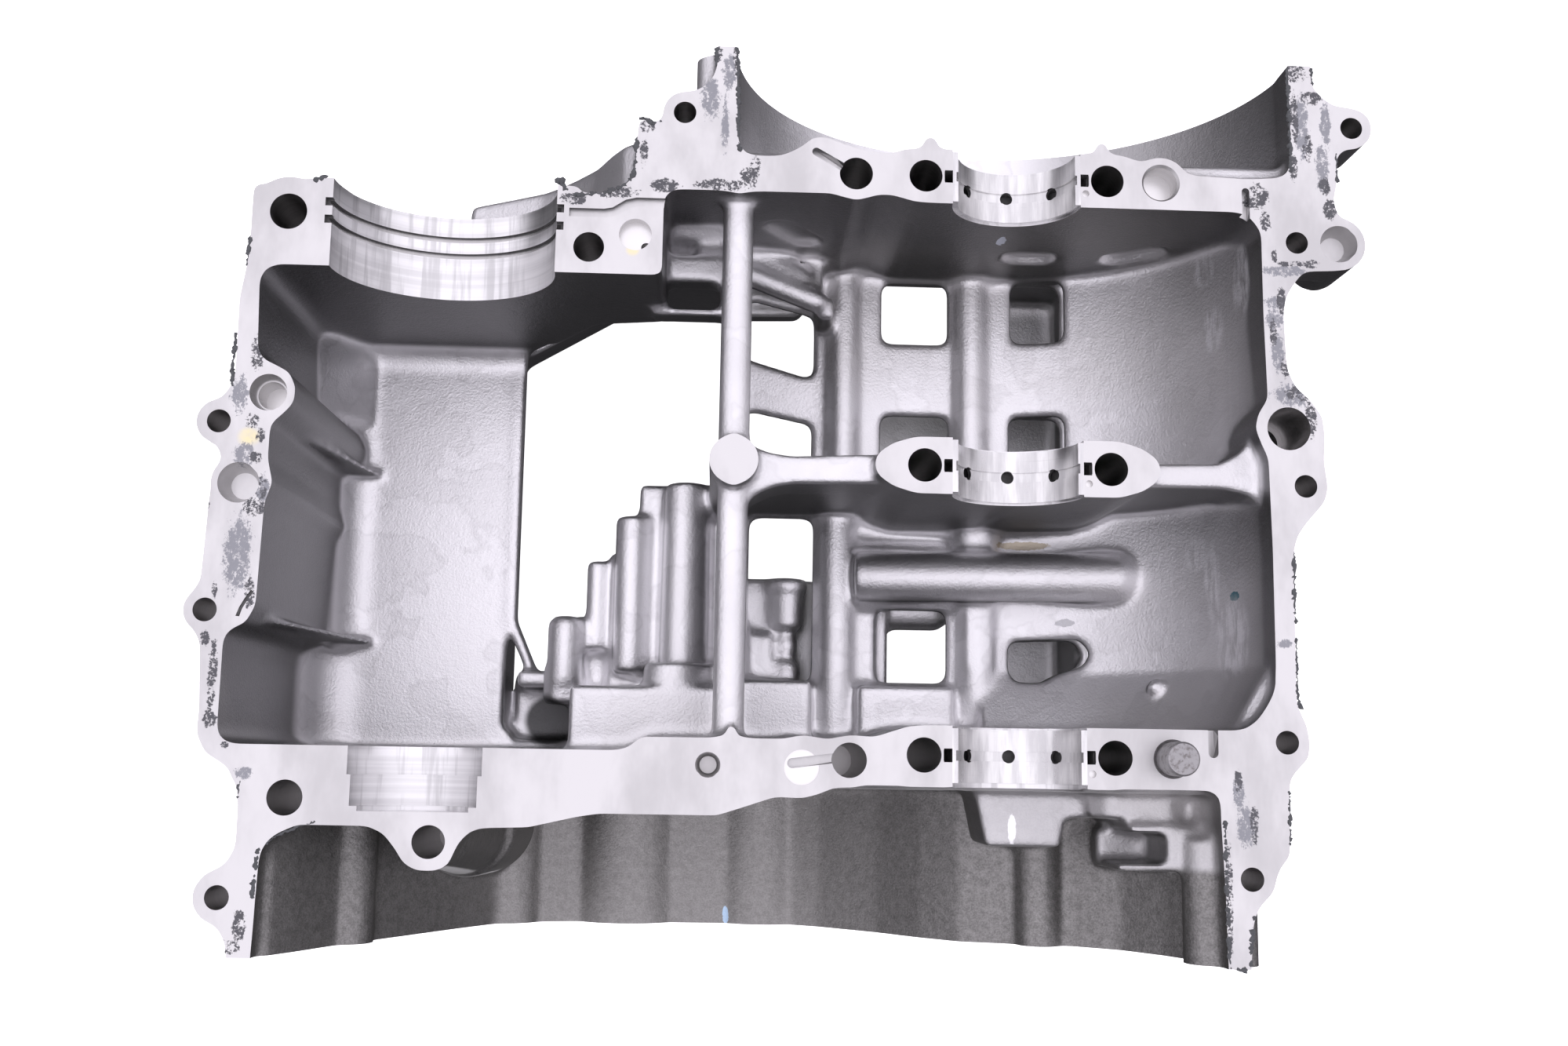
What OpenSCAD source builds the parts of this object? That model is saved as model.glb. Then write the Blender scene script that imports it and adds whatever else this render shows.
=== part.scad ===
// Lower crankcase half of a parallel twin engine with a gearbox behind the crankshaft.
// Millimetres. The origin is the middle main bearing, on the crankshaft axis and in the split
// face. +Z leaves the split face, +Y runs along the crankshaft to the generator side and +X
// points away from the gearbox. The case rests on its sump face.

/* [Main bearings] */
// Bore of the three main bearing seats
seat_d = 40; // [38:0.5:41]
// Wall of a bearing shell
shell_wall = 1.7; // [1.2:0.1:2.5]
// Length of a bearing shell
shell_len = 16; // [12:0.5:17]
// Width of the oil groove in a shell
groove_w = 3; // [2:0.5:5]
// Depth of the oil groove in a shell
groove_depth = 0.6; // [0.3:0.1:0.9]
// Oil holes through a shell
oil_hole_d = 4; // [2:0.5:5]
// Angle of the outer oil holes from the bottom of a shell
oil_hole_angle = 46; // [35:1:55]
// Centre bearing to generator side bearing
pitch_gen = 91.3; // [89:0.1:93]
// Centre bearing to clutch side bearing
pitch_clutch = 86.7; // [84.5:0.1:88]
// Crankshaft axis to each main bolt
main_bolt_x = 28.4; // [27:0.1:31]
// Main bolt holes
main_bolt_d = 10.3; // [8.5:0.1:11]
// Depth of the oil groove in a main bearing seat
seat_groove_depth = 2.5; // [1.5:0.5:4]
// Width of the case at a main bearing
saddle_w = 17.4; // [17.2:0.1:19]
// Tang pocket beside a shell, along the crankshaft
tang_len = 3.2; // [2:0.1:4]

/* [Output shaft] */
// Distance of the output shaft behind the crankshaft
shaft_x = 176; // [174:0.5:178]
// Ball bearing seat
ball_seat_d = 68; // [66:0.5:69]
// Start of the ball bearing seat, from the centre bearing
ball_seat_y0 = 57; // [56:0.5:59]
// End of the ball bearing seat
ball_seat_y1 = 85; // [84:0.5:86]
// Width of a snap ring groove
ring_groove_w = 1.8; // [1.2:0.1:2.5]
// Depth of a snap ring groove
ring_groove_depth = 1.3; // [0.8:0.1:2]
// Needle bearing seat
needle_seat_d = 38.8; // [37:0.2:40]
// Inner end of the needle bearing seat
needle_inner_d = 36.5; // [34:0.5:36.5]

/* [Castings walls and depths] */
// Thickness of the split face flange
flange_t = 12; // [9:0.5:15]
// Wall of the case
wall = 4.5; // [3.5:0.5:6]
// Depth of the gearbox floor
gear_floor = 100; // [96:1:104]
// Radius of the crank chamber belly
trough_r = 78; // [76:0.5:79]
// Depth of the flat part of the crank chamber floor
trough_floor = 80; // [78:1:82]
// Depth of the sump face
sump_depth = 126; // [124:1:132]
// Thickness of the sump flange
sump_flange_t = 9; // [6:0.5:12]
// Radius of the generator chamber
generator_r = 88; // [86.5:0.5:89]
// Cover face of the generator chamber
generator_end = 131.5; // [128:0.5:136]
// Cover face of the clutch chamber
clutch_end = 147; // [144:0.5:150]
// Inner wall of the clutch chamber, from the centre bearing
clutch_wall_y = 97; // [96.5:0.5:98]
// Dividing wall between crank and gearbox
divider_x = 86.2; // [85:0.2:88]
// Oil gallery pipe
gallery_d = 9.8; // [8:0.2:11]
// Depth of the oil gallery
gallery_z = 10.5; // [9:0.5:13]
// Depth of the top of the centre web's arms
arm_z = 8.4; // [7:0.2:12]
// Pad on the centre pillar
pillar_d = 15; // [12:0.5:18]

/* [Fasteners] */
// Clearance holes of the small flange bolts
flange_bolt_d = 7; // [6.2:0.1:7.5]
// Hole near the ball bearing seat
corner_bolt_d = 11.2; // [9:0.1:12]
// Locating pin
pin_d = 10; // [8:0.5:10.5]
// Height of the locating pin above the split face
pin_proud = 11; // [8:0.5:14]
// Depth of the locating pin in the case
pin_seat = 12; // [8:0.5:16]
// Screw bosses on the cover and sump faces
cover_boss_r = 6.5; // [5.5:0.5:8]
// Screw holes on the cover and sump faces
cover_screw_d = 5; // [4:0.5:6]
// Depth of those screw holes
cover_screw_depth = 14; // [8:1:18]

/* [Hidden] */
$fn = 48;
eps = 0.05;
open = 30;
yg = pitch_gen;
yc = -pitch_clutch;
half = saddle_w / 2;
seat_r = seat_d / 2;
pin_x = 45.6;
wx = -shaft_x;
clutch_out = -clutch_end;
far = 400;

// Bolt places in the split face: x, y, hole, boss radius, boss depth
main_bolts = [for (y = [yg, 0, yc]) for (s = [-1, 1]) [s * main_bolt_x, y]];
web_bolts = [[-50.1, yg], [-50.4, yc - 1.9]];
case_bolts = [
    [-223.1, 73.7, corner_bolt_d, 11, 50], [-213.5, -101.9, 10.3, 10.5, 40],
    [-171.8, -113.9, 9.6, 8.2, 45], [-131.9, 65.2, 9.4, 10, 45]
];
flange_bolts = [
    [-239.6, 8.2, 6.7, 22], [-239.9, -48.1, 6.4, 22], [-230.9, -130.3, 6.9, 22],
    [-103.6, 109.4, 6.8, 30], [106.4, 111.3, 6.6, 22], [87.8, 73.2, 7, 22],
    [88.2, -3.8, 6.8, 22], [80.1, -81.3, 6.8, 22], [68.5, -121.3, 7, 22]
];

// Outer edge of the split face, clockwise from the ball bearing housing
outline_housing = [
    [-234, 60], [-234, 73], [-232, 80], [-226, 84], [-218, 84], [-214, 83.5], [-211, 85],
    [-142.3, 84.4], [-140.2, 85], [-137.4, 81.8], [-128.5, 82.5], [-121.6, 84.8], [-118.6, 88.5],
    [-117.8, 107], [-115.2, 107], [-115, 105.4], [-110.4, 105.4], [-109.9, 111.5], [-107.5, 114.8],
    [-104, 116], [-99, 117], [-95, 121], [-93.8, 125], [-93.8, 131.5], [-88, 131.5]
];
outline_top_web = [
    [-87, 98], [-85.2, 95.5], [-73, 95.5], [-67.2, 99.4], [-63.6, 102.6], [-59.5, 102.8],
    [-52.8, 100.3], [-46.2, 98.6], [-39.1, 97.9], [-35, yg + 8.5], [-29.5, yg + 8.6],
    [-28.6, yg + 12.8], [-25.4, yg + 12.8], [-24.6, yg + 8.5],
    [24.6, yg + 8.5], [25.4, yg + 12.8], [28, yg + 12.8], [29, yg + 8.7], [33.5, yg + 8.5], [39, 97.6],
    [42.2, 98.7], [46, 99.4], [50.6, 97], [53.5, 93.4], [73.6, 92.9], [85.4, 93.6], [87, 96]
];
outline_front = [
    [86.7, 131.5], [94, 131.5], [93.9, 125.4], [96.3, 122], [100.7, 118.6], [108, 117.8], [111.8, 115.6],
    [113, 111.2], [111.4, 106.8], [108, 104.5], [103.5, 104.1], [101, 101.9], [101.1, 92.4], [99.7, 87.5],
    [101.2, 81.6], [104.8, 80.4], [108.3, 77.8], [109.6, 73], [108.2, 68.6], [105, 65.6], [100, 64.5],
    [89.4, 64], [86.1, 59.4], [83.7, 55.5], [82.9, 50], [83.4, 33], [85.8, 27.2], [90.5, 23], [94, 18],
    [94.6, 11.7], [94, 4], [95, -4], [93.8, -8.6], [88.1, -15], [85.1, -19.1], [83.7, -24.2],
    [83.3, -70], [86.4, -77], [86.6, -85.5], [80.4, -92], [79.9, -114.4], [76.8, -118], [74.3, -124.6],
    [69.7, -130.2], [68.2, -134], [67.2, clutch_out]
];
outline_bottom_web = [
    [60.9, clutch_out], [60.5, -125], [59.6, -104], [59.8, -92], [58.6, -89.4], [55.8, -88.6], [53, -91.4],
    [49.6, -95], [45.3, -95.4], [39.7, -93.9], [36.2, -94.6], [28, yc - 9.3], [-34, yc - 9.2],
    [-39, -93.5], [-47.5, -96.1], [-55.1, -96.7], [-59.5, -98.6], [-64, -99.8], [-72, -99.5],
    [-80, -102.2], [-88.9, -105.1], [-123.2, -105.1], [-129.5, -106.1], [-143.4, -109.3],
    [-156.5, -109.7], [-160, -110.6], [-163.2, -114], [-165.8, -120.2], [-169, -122], [-175, -122],
    [-178.8, -119.8], [-181, -116.2], [-184.8, -111.6], [-189.5, -109.6], [-209.3, -109.5],
    [-215.2, -112.1], [-218.6, -114.8], [-220, -118.5], [-220.7, clutch_out]
];
outline_rear = [
    [-226.5, clutch_out], [-228.4, -141.2], [-230.5, -138.3], [-234.8, -136.4], [-237.5, -132.8],
    [-237.7, -128], [-235, -124], [-229, -121], [-226.5, -116], [-226.6, -104], [-227.4, -98],
    [-230.5, -93.2], [-237, -89.4], [-239.8, -84], [-239.5, -76.7], [-240.6, -57.5], [-243.8, -52.2],
    [-246, -48], [-244.6, -44.2], [-241.7, -39.7], [-240.8, -14], [-238.6, -5.5], [-237.4, -2.4],
    [-240, 1.2], [-244.6, 3.4], [-246.4, 8], [-244.4, 12.6], [-238.6, 15.8], [-235.7, 21], [-236, 46]
];

// Inner edge of the split face round the gearbox and the crank chambers
bay_rear = [
    [-115.4, -86.2], [-119, -86.8], [-229.6, -86.8], [-233, -85.4], [-234, -82.8], [-234, -56],
    [-232.2, -53.7], [-227.8, -51.6], [-225.3, -46.5], [-224.7, -16], [-222.7, -10], [-224.5, -3],
    [-224.5, 7.6], [-220.6, 11.2], [-218, 14.2], [-217.6, 19], [-219.8, 23.6], [-224.5, 26],
    [-228, 27.4], [-229.6, 30.5], [-230.4, 52], [-229, 55.6], [-225.8, ball_seat_y0]
];
bay_top = [
    [-109.4, ball_seat_y0], [-109.4, 83], [-107.2, 84.5], [-57.8, 84.7], [-54, 83.6], [-50, 82.7],
    [-46.5, 83.6], [-43.4, 84.7], [-39, 84.8], [-32, yg - half + 0.3], [-28, yg - half]
];
bay_front = [
    [68.5, yg - half], [72.8, 81.6], [76.6, 76.5], [76.6, 50], [77.2, 23], [74.2, 18.6], [73, 14],
    [74.8, 9], [76.9, 4.6], [77.4, -24], [77.3, -66], [75.4, -70], [71.9, -75], [68, yc + half]
];
bay_bottom = [
    [-28, yc + half], [-33, -78.4], [-43.3, -81.8], [-50.2, -81.1], [-56.9, -82.6], [-64.3, -81.5],
    [-69.8, -82.7], [-111.6, -82.8]
];

// Clutch chamber as seen from its cover side: x, depth
clutch_profile = [
    [-220.7, open], [-220.7, 0], [-212, -17], [-203.5, -36], [-191, -59], [-176, -87], [-166, -104],
    [-155, -113], [-140, -117.5], [-66, -117.5], [-52, -109], [-33, -92], [-20, -77], [-8, -66],
    [10, -60.5], [26, -57], [41, -46.5], [51, -33], [56, -24], [60.5, -4], [60.5, open]
];
clutch_bosses = [
    [-225, -14], [-208, -46], [-185, -88], [-150, -121.6], [-104, -121.6], [-56, -119],
    [-24, -92], [18, -66], [55, -42], [67, -12]
];
generator_boss_angles = [8, 34, 62, 90, 118, 146, 166];

// Inner side of the wall round the output sprocket: x, z
guard_inside = [
    [-118, -10], [-123, -14], [-127.5, -22], [-133.5, -35], [-141, -45.5], [-148, -54], [-154, -60],
    [-166, -67.5], [-180, -76]
];

// Sump opening seen from above
sump_rear = -165;
sump_step_x = -50;
sump_front = 36;
sump_y0 = -84;
sump_y1 = 94;
sump_opening = [
    [sump_rear, sump_y0 + 4], [sump_rear, 57], [-131, 77], [-62, 79], [sump_step_x, sump_y1],
    [2, sump_y1], [8, 88], [8, 50], [sump_step_x, 50], [sump_step_x, -36], [2, -36], [2, sump_y0 + 4]
];
sump_plate_z = 118;
sump_bosses = [
    [-172, -80], [-172, -20], [-172, 50], [-140, 92], [-80, 101], [-14, 101], [40, 92],
    [43, 30], [43, -30], [40, -86], [-40, -91], [-110, -91]
];

// Windows in the crank chamber floor: x, y, width, length
floor_windows = [
    [-33.6, 59.2, 23.5, 22], [12.3, 59.5, 18, 22.3], [-33.8, 11, 24, 21.7], [11.6, 11, 18.6, 21.7],
    [-79.5, -62, 22.2, 57], [-35.2, -61.5, 24.7, 25]
];
// Windows with slanted edges
slanted_windows = [
    [[-82, 52.3], [-58, 45.3], [-58, 68], [-82, 74]],
    [[-82, 16], [-58.4, 14], [-58.4, 28.6], [-82, 33.4]],
    [[11, -47], [34, -46], [38, -51], [35, -55.5], [27, -58], [22, -61], [13, -61], [11, -57]]
];

// Rounds every corner of an outline by the same small radius
module soften(r = 1.2) {
    offset(r = -r, $fn = 16) offset(r = 2 * r, $fn = 16) offset(r = -r, $fn = 16) children();
}

module outline_2d() {
    soften() polygon(concat(outline_housing, outline_top_web, outline_front, outline_bottom_web,
                            outline_rear));
}

module bay_2d() {
    soften() polygon(concat(bay_rear, bay_top, bay_front, bay_bottom));
}

// A rod along the crankshaft direction
module y_rod(x, z, r, y0, y1, r_end = -1) {
    translate([x, y0, z]) rotate([-90, 0, 0])
        cylinder(r1 = r, r2 = (r_end < 0 ? r : r_end), h = y1 - y0);
}

// A rod between two points
module rod(a, b, r) {
    d = b - a;
    length = norm(d);
    turn = atan2(d[1], d[0]);
    tilt = acos(d[2] / length);
    translate(a) rotate([0, tilt, turn]) cylinder(r = r, h = length);
}

// A rod between two points with a tapered end at the second one
module blunt_rod(a, b, r) {
    d = b - a;
    length = norm(d);
    translate(a) rotate([0, acos(d[2] / length), atan2(d[1], d[0])]) {
        cylinder(r = r, h = length - r * 0.5);
        translate([0, 0, length - r * 0.5]) cylinder(r1 = r, r2 = r * 0.55, h = r * 0.7);
    }
}

module block(x0, x1, y0, y1, z0, z1) {
    translate([x0, y0, z0]) cube([x1 - x0, y1 - y0, z1 - z0]);
}

// A slot with round ends between two points of x and z, cut along the crankshaft
module y_capsule(a, b, r, y0, y1) {
    y_rod(a[0], a[1], r, y0, y1);
    y_rod(b[0], b[1], r, y0, y1);
    n = r * 0.98 * [a[1] - b[1], b[0] - a[0]] / norm(b - a);
    y_prism(y0, y1) polygon([a + n, b + n, b - n, a - n]);
}

// A prism along the crankshaft direction from an outline of x and z
module y_prism(y0, y1) {
    translate([0, y1, 0]) rotate([90, 0, 0]) linear_extrude(y1 - y0) children();
}

module plate(z0, z1) {
    translate([0, 0, z0]) linear_extrude(z1 - z0) children();
}

module rounded_slot(x0, x1, y0, y1, z0, z1, r) {
    plate(z0, z1) offset(r = r, $fn = 24) translate([x0 + r, y0 + r])
        square([x1 - x0 - 2 * r, y1 - y0 - 2 * r]);
}

// Belly of the crank chambers: a round trough whose rear half has a flat floor
module belly(grow) {
    y_rod(0, 0, trough_r + grow, -far / 4, far / 4);
    block(-far, 0, -far / 4, far / 4, -trough_floor - grow, 0);
}

module gearbox_outer() {
    intersection() {
        plate(-gear_floor - wall, -flange_t / 2) offset(delta = wall) bay_2d();
        block(-far, -divider_x + wall / 2, -far, far, -far, 0);
    }
}

module crank_outer() {
    intersection() {
        plate(-far / 2, -flange_t / 2) offset(delta = wall) bay_2d();
        block(-divider_x - wall / 2, far, -far, far, -far, 0);
        belly(wall);
    }
}

module generator_outer() {
    intersection() {
        union() {
            y_rod(0, 0, generator_r + wall, yg - 2, generator_end);
            y_rod(0, 0, generator_r + wall + 2, generator_end - 8, generator_end);
            for (a = generator_boss_angles)
                y_rod(-(generator_r + 7) * cos(a), -(generator_r + 7) * sin(a), cover_boss_r,
                      generator_end - 20, generator_end);
        }
        block(-far, far, 0, far, -far, -flange_t / 2);
    }
}

module clutch_outer() {
    intersection() {
        union() {
            y_prism(clutch_out, clutch_out + 58) offset(delta = wall) polygon(clutch_profile);
            y_prism(clutch_out, clutch_out + 8) offset(delta = wall + 2.5) polygon(clutch_profile);
            for (b = clutch_bosses)
                y_rod(b[0], b[1], cover_boss_r, clutch_out, clutch_out + 22);
        }
        block(-far, far, -far, far, -sump_depth, -flange_t / 2);
    }
}

module sump_outer() {
    plate(-sump_depth, -trough_floor) soften(3)
        polygon([[sump_rear - wall, sump_y0 - wall], [sump_rear - wall, 60], [-134, sump_y1 - 6],
                 [-100, sump_y1 + wall], [sump_front - 8, sump_y1 + wall], [sump_front + wall, sump_y1 - 8],
                 [sump_front + wall, sump_y0 - wall]]);
    plate(-sump_depth, -sump_depth + sump_flange_t) soften(3)
        polygon([[sump_rear - 13, sump_y0 - 13], [sump_rear - 13, 66], [-140, sump_y1 + 4],
                 [-100, sump_y1 + 13], [sump_front, sump_y1 + 13], [sump_front + 13, sump_y1 - 2],
                 [sump_front + 13, sump_y0 - 13]]);
    for (b = sump_bosses)
        translate([b[0], b[1], -sump_depth]) cylinder(r = cover_boss_r, h = 24);
}

module housings() {
    intersection() {
        union() {
            // Ball bearing housing
            y_rod(wx, 0, ball_seat_d / 2 + 7, ball_seat_y0, ball_seat_y1 - 0.5);
            block(-234, -109.4, ball_seat_y0, 82, -30, 0);
            block(-109.6, -87, 84.8, 104, -40, 0);
            // Needle bearing housing
            y_rod(wx, 0, needle_seat_d / 2 + 5, -109, -86);
            // Crankshaft bearing saddles
            for (y = [yg, yc]) y_rod(0, 0, seat_r + 12, y - half, y + half);
            // Web under the top face
            intersection() {
                block(-86, 84, yg - half + 2, 93, -trough_floor, 0);
                belly(wall);
            }
            // Web under the bottom face
            block(-divider_x, 66, -95.5, yc + half - 1, -56, 0);
            block(-229, -divider_x, -clutch_wall_y, -86, -gear_floor, 0);
        }
        block(-far, far, -far, far, -far, -eps);
    }
}

module sprocket_guard() {
    y_prism(78, 104) polygon(concat(guard_inside, [[-182, -84], [-160, -78], [-146, -68], [-134, -56],
                                                   [-122, -40], [-114, -24], [-110, -10]]));
    y_prism(79, 84.5) polygon(concat(guard_inside, [[-182, -86], [-109, -86], [-109, -10]]));
}

module inner_spaces() {
    // Gearbox
    intersection() {
        plate(-gear_floor, open) bay_2d();
        block(-far, -divider_x - wall / 2, -far, far, -far, far);
    }
    y_prism(52, 72.9) polygon([[-160, -106], [-132.4, -60.5], [-110, -55], [-88.6, -55], [-88.6, -106]]);
    // Crank chambers
    intersection() {
        plate(-far / 2, open) bay_2d();
        block(-divider_x + wall / 2, far, -far, far, -far, far);
        union() {
            y_rod(0, 0, trough_r, -58, far / 4);
            y_rod(0, 0, 66, -78.5, -58, trough_r);
            block(-far, 0, -far / 4, far / 4, -trough_floor, open);
            block(0, trough_r - 0.5, -far / 4, far / 4, -eps, open);
        }
    }
    // Generator chamber
    y_rod(0, 0, generator_r, yg + half, generator_end + 1);
    // Clutch chamber
    y_prism(clutch_out - 1, -clutch_wall_y) soften(4) polygon(clutch_profile);
    // Sump: the space under the crank chambers and the openings out of it
    block(-divider_x + wall / 2, sump_front, sump_y0, sump_y1 - 8, -sump_plate_z, -trough_floor - wall);
    block(-60, 4, sump_y1 - 10, sump_y1, -sump_plate_z, -trough_floor - wall - 9);
    plate(-sump_depth - 1, -gear_floor + 12) soften(2) polygon(sump_opening);
    block(sump_rear + 3, -divider_x, -83, 79, -gear_floor - 12, -gear_floor + 1);
    block(sump_step_x + 6, sump_front - 2, sump_y0 + 4, 44, -sump_depth - 1, -sump_plate_z - 3);
}

module lobe_2d(side) {
    soften(2) polygon([for (p = [[0, -half], [31, -half], [38, -6.6], [42.6, -3.4], [43.8, 0], [42.6, 3.4],
                                 [38, 6.6], [31, half], [0, half]]) [side * p[0], p[1]]]);
}

module centre_web() {
    intersection() {
        union() {
            plate(-trough_floor - 2, 0) lobe_2d(1);
            plate(-trough_floor - 2, 0) lobe_2d(-1);
            block(-divider_x, 78, -3.6, 3.6, -trough_floor - 2, -gallery_z);
            // The top of the web widens at the pillar and at the front wall
            plate(-30, -arm_z) soften(1) polygon([
                [-divider_x, -14], [-78.7, -8.4], [-74, -6.2], [-68, -5], [-45, -4.6], [45, -3.6],
                [65, -3.4], [74, -5.2], [79.6, -11], [79.6, 18], [77, 14.8], [70.5, 7.6], [64.2, 4.3],
                [45, 4], [-45, 4.8], [-68, 3.7], [-74, 4.4], [-78.7, 5.8], [-divider_x, 10]
            ]);
        }
        belly(wall / 2);
    }
}

module gallery() {
    y_rod(-divider_x, -gallery_z, gallery_d / 2, -84, 86);
    translate([-divider_x, 0.4, -gear_floor + 10]) cylinder(d = pillar_d, h = gear_floor - 10);
}

// Rounded ridges, tubes and struts that stand on the crank chamber floor
module trough_details() {
    for (r = [[-47.5, 5.5, 3, 85], [-2, 6, 8, 84], [-49.5, 6.5, -82, -2], [0, 6.5, -78, -34]])
        y_rod(r[0], -trough_floor, r[1], r[2], r[3]);
    // Cross passage on a raised part of the floor, with a boss on each side of it
    intersection() {
        union() {
            plate(-86, -77.5) soften(4) polygon([[-45, -13.5], [30, -13.5], [39, -18], [43, -25],
                                                 [39, -32], [30, -36.5], [-45, -36.5]]);
            blunt_rod([-43, -25.5, -75], [51.5, -25.5, -63], 8.6);
            translate([-1, -8, -77]) rotate([90, 0, 0]) cylinder(r1 = 9, r2 = 6, h = 12);
            block(-5, 5, -56, -24, -86, -74);
        }
        belly(wall / 2);
    }
    // Round ejector mark
    translate([57.5, -64.4, -54.5]) sphere(r = 3.2, $fn = 32);
    // Two struts from the dividing wall to the floor
    blunt_rod([-87, 78, -58], [-56, 67, -61], 4.2);
    blunt_rod([-87, 86, -60], [-61, 75, -62], 4.4);
    block(-58, -52, 62, 70, -84, -61);
    block(-62, -56, 71, 86, -84, -62);
    // Pump housing seen through the rear windows of the clutch side chamber
    block(-84, -54, -84, -25, -112, -96);
    y_rod(-66.4, -90, 8, -30, -25.5);
    y_rod(-66.4, -90, 6.6, -43, -30);
    y_rod(-66.4, -90, 4, -64, -43);
    y_rod(-66.4, -90, 4.8, -51, -47);
    y_rod(-66.4, -90, 5.8, -63, -55);
    block(-84, -73, -64, -25.5, -98, -87);
    block(-84, -71, -64, -45, -98, -84);
    block(-84, -58, -82, -62, -84, -64);
    block(-42, -9, -84, -63, -84, -70);
    block(-41, -35.4, -66, -33, -112, -80);
    block(-37, -30, -66, -34, -112, -88);
    blunt_rod([-37, -35, -98], [-8, -35, -98], 7);
}

// Stepped rods and pockets between the gearbox floor and the dividing wall
module gearbox_details() {
    y_rod(-101.5, -74, 8.2, -60, 5, 7.6);
    y_rod(-119.6, -80, 6.4, -60, -6);
    y_rod(-132, -86, 4, -52, -21);
    y_rod(-142.4, -84, 6.2, -64, -43);
    y_rod(-142.4, -84, 6.2, -43, -40.6, 4);
    y_rod(-142.8, -86, 7, -71, -58);
    block(-118, -88, -62, 5.5, -100, -78);
    block(-128, -110, -70, -18, -100, -84);
    block(-141, -126, -86, -40, -100, -89);
    // Box and half round lump against the bottom web
    block(-137, -88, -87, -66, -92, -44);
    y_rod(-103, -55.5, 11, -72, -58);
    block(-94, -88, -84, -58, -92, -52);
    // Ledge and closed pit beside the box
    block(-160, -136, -65, -59, -112, -93);
    block(-162, -132, -88, -59, -118, -110);
    // Bracket beside the ball bearing block
    difference() {
        block(-113.5, -88, 54.5, 75, -46, -34);
        block(-110, -91.5, 57, 66, -50, -30);
    }
    blunt_rod([-88, 85, -38], [-107, 85, -38], 4.6);
    rod([-99, 75, -43], [-88, 74, -43], 7);
    block(-110, -88, 80, 86, -gear_floor - 1, -39);
    // Wall under the ball bearing block, cut away towards the dividing wall
    block(-231, -161, ball_seat_y0, 62, -gear_floor - wall, -28);
    y_prism(ball_seat_y0, 62)
        polygon([[-161.5, -28], [-161.5, -104], [-133, -60], [-109, -54], [-109, -28]]);
    block(-164, -88, 73, 82, -112, -46);
    // Upright ribs on the rear wall
    for (y = [10.5, -49.7]) y_prism(y - 1.1, y + 1.1)
        polygon([[-226, -14], [-221.5, -30], [-213.5, -90], [-211.5, -gear_floor - 1],
                 [-235, -gear_floor - 1]]);
    // Round corner between rear wall and floor
    floor_corner(-225, -53, 28, 13);
    floor_corner(-234, -88, -53, 20);
    y_prism(28, 58) polygon([[-231, -70], [-214.8, -gear_floor - 1], [-231, -gear_floor - 1]]);
    difference() {
        block(-226, -161, ball_seat_y0 - 9, ball_seat_y0 + 1, -gear_floor - 1, -gear_floor + 9);
        rod([-230, ball_seat_y0 - 9, -gear_floor + 9], [-160, ball_seat_y0 - 9, -gear_floor + 9], 9);
    }
    // Lip of the gearbox floor
    plate(-gear_floor - 6, -gear_floor + 0.4) polygon([[-165.6, 56], [-161.8, 56], [-161.6, -41],
                                                       [-152.8, -61], [-156.8, -61], [-165.4, -42]]);
}

// Fillet between the upright rear wall at x and the gearbox floor
module floor_corner(x, y0, y1, r) {
    difference() {
        block(x - 1, x + r, y0, y1, -gear_floor - 1, -gear_floor + r);
        y_rod(x + r, -gear_floor + r, r, y0 - 1, y1 + 1);
    }
}

module clutch_details() {
    // Closed end of the needle bearing housing
    intersection() {
        y_rod(wx, 0, needle_seat_d / 2 + 5, -109, -clutch_wall_y + 1);
        block(-far, 0, -far, 0, -far, -flange_t / 2);
    }
    // Tower beside the lower rear bolt
    translate([-170, -112, -104]) cylinder(r1 = 17.5, r2 = 16, h = 46);
    translate([-171, -113, -58.5]) cylinder(r1 = 14, r2 = 9, h = 46);
    // Wide soft ridges along the chamber
    intersection() {
        for (r = [[-204, -44, 9], [-163, -118, 12], [-121, -133, 22], [-72, -133, 20], [17, -60, 7.2]])
            y_rod(r[0], r[1], r[2], clutch_out + 0.5, -98);
        y_prism(clutch_out, -90) offset(delta = wall / 2) polygon(clutch_profile);
    }
    // Column along the front wall
    y_rod(60, -15, 8, clutch_out + 0.5, -110);
    // Block under the clutch side main bearing
    plate(-62, -30) polygon([[-9, -95], [-5, -114.4], [18.5, -114.4], [20, -105.6], [29, -105], [29, -95]]);
    // Ledge and bracket next to it
    y_prism(-105, -94) polygon([[26, -50], [26, -24], [30, -18], [50, -16], [62, -30], [62, -50]]);
    block(36, 62, -109, -106.5, -50, -14);
    block(47.5, 50.5, -120, -107, -50, -14);
    block(32, 50.5, -120.5, -118, -50, -14);
    block(32, 47.6, -118.5, -109, -50, -40);
}

module bosses() {
    for (b = main_bolts)
        translate([b[0], b[1], -trough_floor - 2]) cylinder(r = half - 0.2, h = trough_floor + 2);
    for (b = web_bolts) translate([b[0], b[1], -50]) cylinder(r = 8, h = 50);
    for (b = case_bolts) translate([b[0], b[1], -b[4]]) cylinder(r = b[3], h = b[4]);
    for (b = flange_bolts) translate([b[0], b[1], -b[3]]) cylinder(r = b[2], h = b[3]);
    translate([101.1, 73.2, -24]) cylinder(r = 8.5, h = 24);
    translate([83.5, 14, -70]) cylinder(r = 10.4, h = 70);
    translate([45.3, yg, -24]) cylinder(r = 8.3, h = 24);
    translate([pin_x, yc, -pin_seat - 6]) cylinder(r = 8.3, h = pin_seat + 6);
    translate([-225.6, 17.3, -26]) cylinder(r = 8, h = 26);
    translate([-232.7, -10.2, -26]) cylinder(r = 8.2, h = 26);
}

module hole(x, y, d, depth) {
    translate([x, y, -depth]) cylinder(d = d, h = depth + 1);
}

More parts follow.
